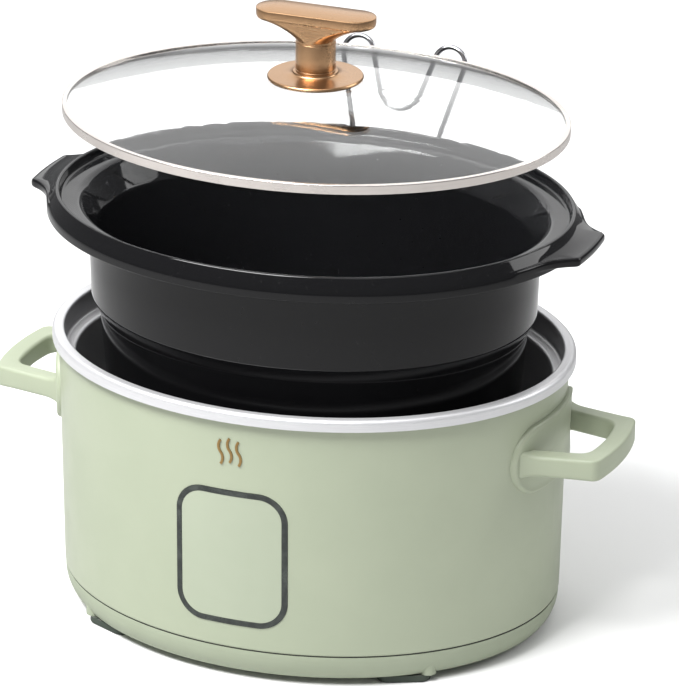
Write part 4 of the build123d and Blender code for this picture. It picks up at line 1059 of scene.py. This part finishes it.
@dataclass
class Handle:
    """One side handle: a rimmed plate on the shell, two arms and a bowed grip."""

    side: int
    name: str
    reach: float = HANDLE_HIGH.x
    low: float = HANDLE_LOW.z
    high: float = HANDLE_HIGH.z
    length: float = HANDLE_HIGH.y - HANDLE_LOW.y
    shell_low_a: float = node_box("base_seal")[1].x + SEAM_SET_BACK
    arm: float = 13.6
    height: float = 15.0
    spread_root: float = 103.0
    spread_grip: float = 82.0
    bow: float = 5.0
    root_sink: float = 1.0
    knee_cut: float = 5.2
    inner_knee_cut: float = 9.0
    edge_round: float = 3.0
    grip_edge_round: float = 1.4
    root_flare: float = 6.0
    root_run: float = 13.0
    root_power: float = 2.6
    root_outward: float = 0.3
    root_inward: float = 0.9
    root_upward: float = 0.8
    row_gap: float = 2.4
    end_blend: float = 0.35

    @property
    def middle(self) -> float:
        """Height of the handle's centre line."""
        return (self.low + self.high) / 2

    def shell_x(self, y: float, z: float) -> float:
        """X of the shell's face.

        Args:
            y: Distance from the long axis.
            z: Height.

        Returns:
            The face's X on the positive side.
        """
        share = (z - SHELL_LOW.z) / (SHELL_HIGH.z - SHELL_LOW.z)
        a = self.shell_low_a + (SHELL_HIGH.x - self.shell_low_a) * share
        return a * sqrt(1 - (y / (a * OVAL)) ** 2)

    def plate_ring(self, inset: float, rise: float) -> Ring:
        """One obround ring of the plate.

        Args:
            inset: How far it lies inside the plate's outline.
            rise: How far it stands off the shell.

        Returns:
            Its points.
        """
        radius = (self.high - self.low) / 2
        run = self.length / 2 - radius
        ring = []
        for index in range(PLATE_STEPS):
            turn = 2 * pi * index / PLATE_STEPS
            shift = run * smoothstep(0.0, self.end_blend, abs(cos(turn)))
            y = (shift if cos(turn) > 0 else -shift) + (radius - inset) * cos(turn)
            z = self.middle + (radius - inset) * sin(turn)
            ring.append(Vector((self.shell_x(y, z) + rise, y, z)))
        return ring

    def plate(self) -> bmesh.types.BMesh:
        """The obround plate with a rolled edge, following the shell.

        Returns:
            Its bmesh.
        """
        rows = [*PLATE_EDGE, *((inset, PLATE_FLAT) for inset in PLATE_INSETS)]
        return skinned([self.plate_ring(inset, rise) for inset, rise in rows], close_first=False)

    def u_line(self, inset: float, cut: float) -> list[Vector]:
        """One edge of the arms and grip, seen from above.

        Args:
            inset: How far it lies inside the handle's outer edge.
            cut: How far its knees are cut back before they are rounded.

        Returns:
            Points from the root of one arm, round the grip, to the root of the other.
        """
        half = self.spread_grip / 2
        radius = (half**2 + self.bow**2) / (2 * self.bow)
        centre = self.reach - radius
        root_x = self.shell_x(self.spread_root / 2, self.middle) - self.root_sink
        corner_x = self.reach - self.bow
        slope = (self.spread_root - self.spread_grip) / 2 / (corner_x - root_x)
        lean = sqrt(1 + slope**2)

        def arm_y(x: float) -> float:
            """Distance of the arm's edge from the long axis at x."""
            return half + slope * (corner_x - x) - inset * lean

        grip_r = radius - inset
        knee_y = arm_y(corner_x)
        for _ in range(6):
            knee_x = centre + sqrt(grip_r**2 - knee_y**2)
            knee_y = arm_y(knee_x)
        start = Vector((root_x, arm_y(root_x), 0))
        knee = Vector((knee_x, knee_y, 0))
        before = knee + (start - knee).normalized() * cut
        line = [start.lerp(before, i / ARM_ROWS) for i in range(ARM_ROWS + 1)]
        turn = atan2(knee_y, knee_x - centre) - cut / grip_r
        after = Vector((centre + grip_r * cos(turn), grip_r * sin(turn), 0))
        for t in (i / KNEE_ROWS for i in range(1, KNEE_ROWS + 1)):
            line.append(before * (1 - t) ** 2 + knee * 2 * t * (1 - t) + after * t * t)
        for i in range(1, GRIP_ROWS + 1):
            angle = turn * (1 - i / GRIP_ROWS)
            line.append(Vector((centre + grip_r * cos(angle), grip_r * sin(angle), 0)))
        mirrored = [Vector((p.x, -p.y, 0)) for p in reversed(line[:-1])]
        return line + mirrored

    def bar_ring(self, outer: Vector, inner: Vector, row: int) -> Ring:
        """One ring of the arms and grip: a rectangle with rounded corners.

        Args:
            outer: Where it stands on the outer edge.
            inner: Where it stands on the inner edge.
            row: Its number, counted from the nearer root.

        Returns:
            Its points, up the outer side and down the inner one.
        """
        flare = self.root_flare * max(0.0, 1 - row * self.row_gap / self.root_run) ** self.root_power
        on_grip = smoothstep(SHARPER_FROM, SHARPER_TO, row)
        outer_round = self.edge_round + (self.grip_edge_round - self.edge_round) * on_grip
        width = (inner - outer).length
        corners = ((False, -1, outer_round, self.root_outward),
                   (False, 1, outer_round, self.root_outward),
                   (True, 1, self.edge_round, self.root_inward),
                   (True, -1, self.edge_round, self.root_inward))
        ring = []
        for inside, side_up, r, widening in corners:
            for step in range(EDGE_POINTS):
                angle = pi / 2 * step / (EDGE_POINTS - 1)
                if inside == (side_up > 0):
                    angle = pi / 2 - angle
                share = (r * (1 - cos(angle)) - widening * flare) / width
                up = self.height / 2 - r * (1 - sin(angle)) + self.root_upward * flare
                point = outer.lerp(inner, 1 - share if inside else share)
                ring.append(Vector((point.x, point.y, self.middle + side_up * up)))
        return ring

    def arms(self) -> bmesh.types.BMesh:
        """The two arms and the grip as one bent bar with softened edges.

        Returns:
            Its bmesh.
        """
        outer = self.u_line(0.0, self.knee_cut)
        inner = self.u_line(self.arm, self.inner_knee_cut)
        last = len(outer) - 1
        return skinned([self.bar_ring(a, b, min(i, last - i)) for i, (a, b) in enumerate(zip(outer, inner))])

    def build(self) -> None:
        """Joins the plate and the arms and turns them to their side."""
        bm = self.plate()
        arms = self.arms()
        carried = bpy.data.meshes.new("arms")
        arms.to_mesh(carried)
        arms.free()
        bm.from_mesh(carried)
        bpy.data.meshes.remove(carried)
        bmesh.ops.scale(bm, vec=(self.side, 1, 1), verts=bm.verts)
        finished(bm, f"{self.name}_moulding", "base", MOULDED_SAGE, [self.name])


FLANGE_LOW, FLANGE_HIGH = node_box("knob_flange")
STEM_LOW, STEM_HIGH = node_box("knob_stem")
GRIP_LOW, GRIP_HIGH = node_box("knob_grip")
TURNED_STEPS = 128
TURNED_SHARP = 34.0
FOOT_LIP = ((2.5, 0.9, 0), (0.6, 0.75, 0.5), (0.0, 1.9, 1.0), (0.7, 3.1, 0.7),
            (1.4, 3.28, 0))  # inset from the foot's edge, height and rounding
STEM_GROOVE = ((0.0, 0.9, 0.2), (0.5, 1.2, 0.15), (0.5, 1.6, 0.15),
               (0.0, 1.9, 0.2))  # inset from the stem's side, distance from its end and rounding
SWEEP_ROWS, FLARE_ROWS, CROWN_ROWS = 14, 14, 12
STADIUM_STEPS = 160


@dataclass
class Knob:
    """The lid's knob: a turned foot, a stem and a long flared grip."""

    foot_r: float = FLANGE_HIGH.x
    foot_z: float = FLANGE_LOW.z
    stem_r: float = STEM_HIGH.x
    stem_z: float = STEM_LOW.z
    grip_z: float = GRIP_LOW.z
    grip_top: float = GRIP_HIGH.z
    half_length: float = GRIP_HIGH.x
    half_width: float = (GRIP_HIGH.y - GRIP_LOW.y) / 2
    foot_hollow: float = 1.4
    foot_edge: float = 1.6
    foot_thick: float = 3.3
    collar: float = 1.1
    collar_drop: float = 0.2
    sweep_power: float = 0.9
    sweep_rise: float = 1.5
    stem_chamfer: float = 0.1
    stem_edge_round: float = 0.05
    bar_height: float = 8.4
    bar_round: float = 0.35
    crown: float = 1.6
    crown_seam: float = 0.02
    throat_inset: tuple[float, float] = (1.0, 0.7)
    flare_powers: tuple[float, float] = (1.55, 0.9)
    rise_powers: tuple[float, float] = (0.75, 0.55)
    steady_rise: float = 0.06
    gather: float = 0.2
    grip_sharp: float = 32.0

    def foot(self) -> None:
        """Turned foot with a rounded lip and a hollow sweep up to the stem."""
        base, top = self.foot_z, self.stem_z
        width = self.foot_r - self.stem_r - 2 * self.foot_edge
        height = top - base - self.foot_thick - self.collar_drop
        sweep = []
        for turn in (pi / 2 * i / SWEEP_ROWS for i in range(SWEEP_ROWS + 1)):
            sweep.append(Vector((self.foot_r - self.foot_edge - width * sin(turn) ** self.sweep_power, 0,
                                 base + self.foot_thick + height * (1 - cos(turn)) ** self.sweep_rise)))
        lip = rounded_line([(self.foot_r - inset, base + up, r) for inset, up, r in FOOT_LIP])
        neck = [Vector((self.stem_r + self.collar, 0, top)), Vector((0, 0, top))]
        line = [Vector((0, 0, base + self.foot_hollow)), *lip, *sweep, *neck]
        finished(spun(line, TURNED_STEPS), "knob_foot_turned", "lid", KNOB_RING,
                 ["knob_flange"], TURNED_SHARP)

    def stem(self) -> None:
        """Turned stem with a fine groove near each end."""
        low, high, radius = self.stem_z, self.grip_z, self.stem_r
        lower = [(radius - inset, low + up, r) for inset, up, r in STEM_GROOVE]
        upper = [(radius - inset, high - up, r) for inset, up, r in reversed(STEM_GROOVE)]
        line = rounded_line([(0, low, 0), (radius - self.stem_chamfer, low, 0), *lower, *upper,
                             (radius, high, self.stem_edge_round), (0, high, 0)])
        finished(spun(line, TURNED_STEPS), "knob_stem_turned", "lid", KNOB_RING,
                 ["knob_stem"], TURNED_SHARP)

    def outline(self, length: float, width: float) -> list[tuple[float, float]]:
        """A stadium, or a circle where its length and width are the same.

        Args:
            length: Half its length.
            width: Half its width.

        Returns:
            The points, gathered towards its two ends.
        """
        run = length - width
        gather = self.gather if run > 1e-3 else 0.0
        points = []
        for index in range(STADIUM_STEPS):
            turn = 2 * pi * index / STADIUM_STEPS
            turn -= gather * sin(2 * turn)
            along, across = cos(turn), sin(turn)
            if abs(across) > 1e-9 and width / abs(across) * abs(along) <= run:
                r = width / abs(across)
            else:
                r = run * abs(along) + sqrt(max(0.0, width**2 - (run * across) ** 2))
            points.append((r * along, r * across))
        return points

    def grip_rows(self) -> list[tuple[float, float, float]]:
        """The grip's rows, from the stem's end up to the middle of its top.

        Returns:
            Each row's half length, half width and height.
        """
        r, long, wide = self.stem_r, self.half_length, self.half_width
        low, top = self.grip_z, self.grip_top
        edge = top - self.bar_height
        throat_long = long - self.throat_inset[0] - r
        throat_wide = wide - self.throat_inset[1] - r
        rows = []
        for t in (i / FLARE_ROWS for i in range(FLARE_ROWS + 1)):
            early = sin(t * pi / 2) ** self.rise_powers[0] * t ** self.rise_powers[1]
            rise = self.steady_rise * t + (1 - self.steady_rise) * early
            rows.append((r + throat_long * t ** self.flare_powers[0],
                         r + throat_wide * t ** self.flare_powers[1],
                         low + (edge - low) * rise))
        shoulder = top - self.crown
        rows += [(long - 0.45, wide - 0.3, edge + 0.7),
                 (long - 0.1, wide - 0.06, edge + 1.9),
                 (long, wide, edge + 3.4),
                 (long, wide, shoulder - 0.6),
                 (long - 0.08, wide - 0.08, shoulder - 0.25),
                 (long - self.bar_round, wide - self.bar_round, shoulder)]
        for share in (i / CROWN_ROWS for i in range(1, CROWN_ROWS)):
            rows.append(((long - self.bar_round) * (1 - share) + (long - wide) * share,
                         (wide - self.bar_round) * (1 - share) + self.crown_seam,
                         shoulder + self.crown * (1 - (1 - share) ** 2)))
        return rows

    def grip(self) -> None:
        """Long bar lofted out of the stem, with a crisp upper edge and a crowned top."""
        rings = [[Vector((x, y, z)) for x, y in self.outline(a, b)] for a, b, z in self.grip_rows()]
        finished(skinned(rings), "knob_grip_lofted", "lid", KNOB_LONG, ["knob_grip"],
                 self.grip_sharp)

    def build(self) -> None:
        """Makes the three pieces."""
        self.foot()
        self.stem()
        self.grip()


class Carried:
    """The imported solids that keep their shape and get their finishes."""

    @staticmethod
    def dress() -> None:
        """Gives each of these solids its own detailed material."""
        for node, finish in DRESS.items():
            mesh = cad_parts[node].data
            material = WARDROBE.get(finish)
            if not mesh.materials:
                mesh.materials.append(material)
            for index in range(len(mesh.materials)):
                mesh.materials[index] = material
            log.info("%s: dressed in %s", node, material.name)


# --- studio ----------------------------------------------------------------------------------
@dataclass(frozen=True)
class Lamp:
    """A rectangular soft light aimed at the middle of the cooker.

    Its turn is 0 in front and 90 at the right, and its rise is above the horizon, both in degrees.
    Its distance and its size are in metres.
    """

    name: str
    turn: float
    rise: float
    away: float
    size: tuple[float, float]
    watts: float

    def hang(self, target: Vector) -> None:
        """Adds the light to the scene.

        Args:
            target: What it points at, in metres.
        """
        data = bpy.data.lights.new(self.name, "AREA")
        data.shape = "RECTANGLE"
        data.size, data.size_y = self.size
        data.energy = self.watts
        lamp = bpy.data.objects.new(self.name, data)
        back = direction(self.turn, self.rise)
        lamp.location = target + back * self.away
        lamp.rotation_mode = "QUATERNION"
        lamp.rotation_quaternion = back.to_track_quat("Z", "Y")
        bpy.context.scene.collection.objects.link(lamp)


def direction(turn: float, rise: float) -> Vector:
    """The direction that lies turn degrees from the front and rise degrees over the horizon."""
    t, e = radians(turn), radians(rise)
    return Vector((sin(t) * cos(e), -cos(t) * cos(e), sin(e)))


LAMPS = (Lamp("key_left", -30.0, 55.0, 2.4, (1.6, 0.8), 112.0),
         Lamp("top", -10.0, 80.0, 1.9, (2.2, 1.8), 20.0),
         Lamp("back_panel", 201.0, 38.0, 2.8, (4.0, 2.6), 42.0),
         Lamp("back_right", 120.0, 30.0, 2.2, (1.0, 1.0), 14.0))


@dataclass
class Studio:
    """Pale floor, soft lights and the camera.

    The camera looks along its yaw and elevation, in degrees, from a distance in metres, and stands
    right and up of the line through the foot of the cooker's axis.
    """

    floor_half: float = 6.0
    floor_tone: Colour = (0.81, 0.81, 0.81)
    mirrored_tone: Colour = (0.42, 0.42, 0.42)
    floor_roughness: float = 0.9
    floor_specular: float = 0.15
    target_z: float = 0.18
    seen_white: tuple[float, float, float, float] = (1.0, 1.0, 1.0, 1.0)
    ambient: tuple[float, float, float, float] = (0.97, 0.98, 1.0, 1.0)
    ambient_strength: float = 0.24
    focal_mm: float = 257.4
    distance: float = 3.42849
    elevation: float = 21.856
    yaw: float = 21.151
    roll: float = 0.645
    right: float = 0.019963
    up: float = 0.173571

    def floor(self) -> None:
        """A wide plain floor in matt white, darker where it is only mirrored in something."""
        bm = bmesh.new()
        bmesh.ops.create_grid(bm, x_segments=1, y_segments=1, size=self.floor_half)
        mesh = bpy.data.meshes.new("studio_floor")
        bm.to_mesh(mesh)
        bm.free()
        material, w, shader = blank_material("studio_floor_white")
        path = w.add("ShaderNodeLightPath").outputs
        through_glass = w.maths("ADD", path["Is Transmission Ray"], 0.5)
        mirrored = w.maths("GREATER_THAN", path["Is Glossy Ray"], through_glass)
        tone = w.mix(mirrored, self.floor_tone, self.mirrored_tone)
        w.tree.links.new(tone, shader.inputs["Base Color"])
        shader.inputs["Roughness"].default_value = self.floor_roughness
        shader.inputs["Specular IOR Level"].default_value = self.floor_specular
        mesh.materials.append(material)
        ground = bpy.data.objects.new("studio_floor", mesh)
        bpy.context.scene.collection.objects.link(ground)

    def world(self) -> None:
        """White surroundings, dimmer as a light than they look."""
        world = bpy.data.worlds.new("studio_world")
        world.use_nodes = True
        world.node_tree.nodes.clear()
        w = Wiring(world.node_tree)
        seen = w.add("ShaderNodeBackground", {"Color": self.seen_white, "Strength": 1.0})
        lit = w.add("ShaderNodeBackground", {"Color": self.ambient, "Strength": self.ambient_strength})
        camera = w.add("ShaderNodeLightPath").outputs["Is Camera Ray"]
        both = w.add("ShaderNodeMixShader", {0: camera, 1: lit.outputs[0], 2: seen.outputs[0]})
        w.add("ShaderNodeOutputWorld", {"Surface": both.outputs[0]})
        bpy.context.scene.world = world

    def camera(self) -> None:
        """A long lens, a little above the lid and to the right of the front."""
        r = radians(self.roll)
        back = direction(self.yaw, self.elevation)
        level = (-back).cross(Vector((0, 0, 1))).normalized()
        upright = level.cross(-back)
        across = level * cos(r) + upright * sin(r)
        up = upright * cos(r) - level * sin(r)
        data = bpy.data.cameras.new("camera")
        data.lens = self.focal_mm
        data.clip_start = 0.1
        data.clip_end = 50.0
        camera = bpy.data.objects.new("camera", data)
        place = back * self.distance + across * self.right + up * self.up + Vector((0, AXIS_Y * MM, 0))
        turned = Matrix((across, up, back)).transposed().to_4x4()
        camera.matrix_world = Matrix.Translation(place) @ turned
        bpy.context.scene.collection.objects.link(camera)
        bpy.context.scene.camera = camera

    def build(self) -> None:
        """Sets up the floor, the lights and the camera."""
        self.floor()
        self.world()
        for lamp in LAMPS:
            lamp.hang(Vector((0, 0, self.target_z)))
        self.camera()
        bpy.context.scene.view_settings.view_transform = "Standard"


def main() -> None:
    """Builds the sub-assemblies in order, then the studio."""
    logging.basicConfig(level=logging.INFO, format="%(name)s: %(message)s")
    Carried.dress()
    Crock().build()
    Handle(-1, "handle_left").build()
    Handle(1, "handle_right").build()
    Knob().build()
    Studio().build()


if __name__ == "__main__":
    main()
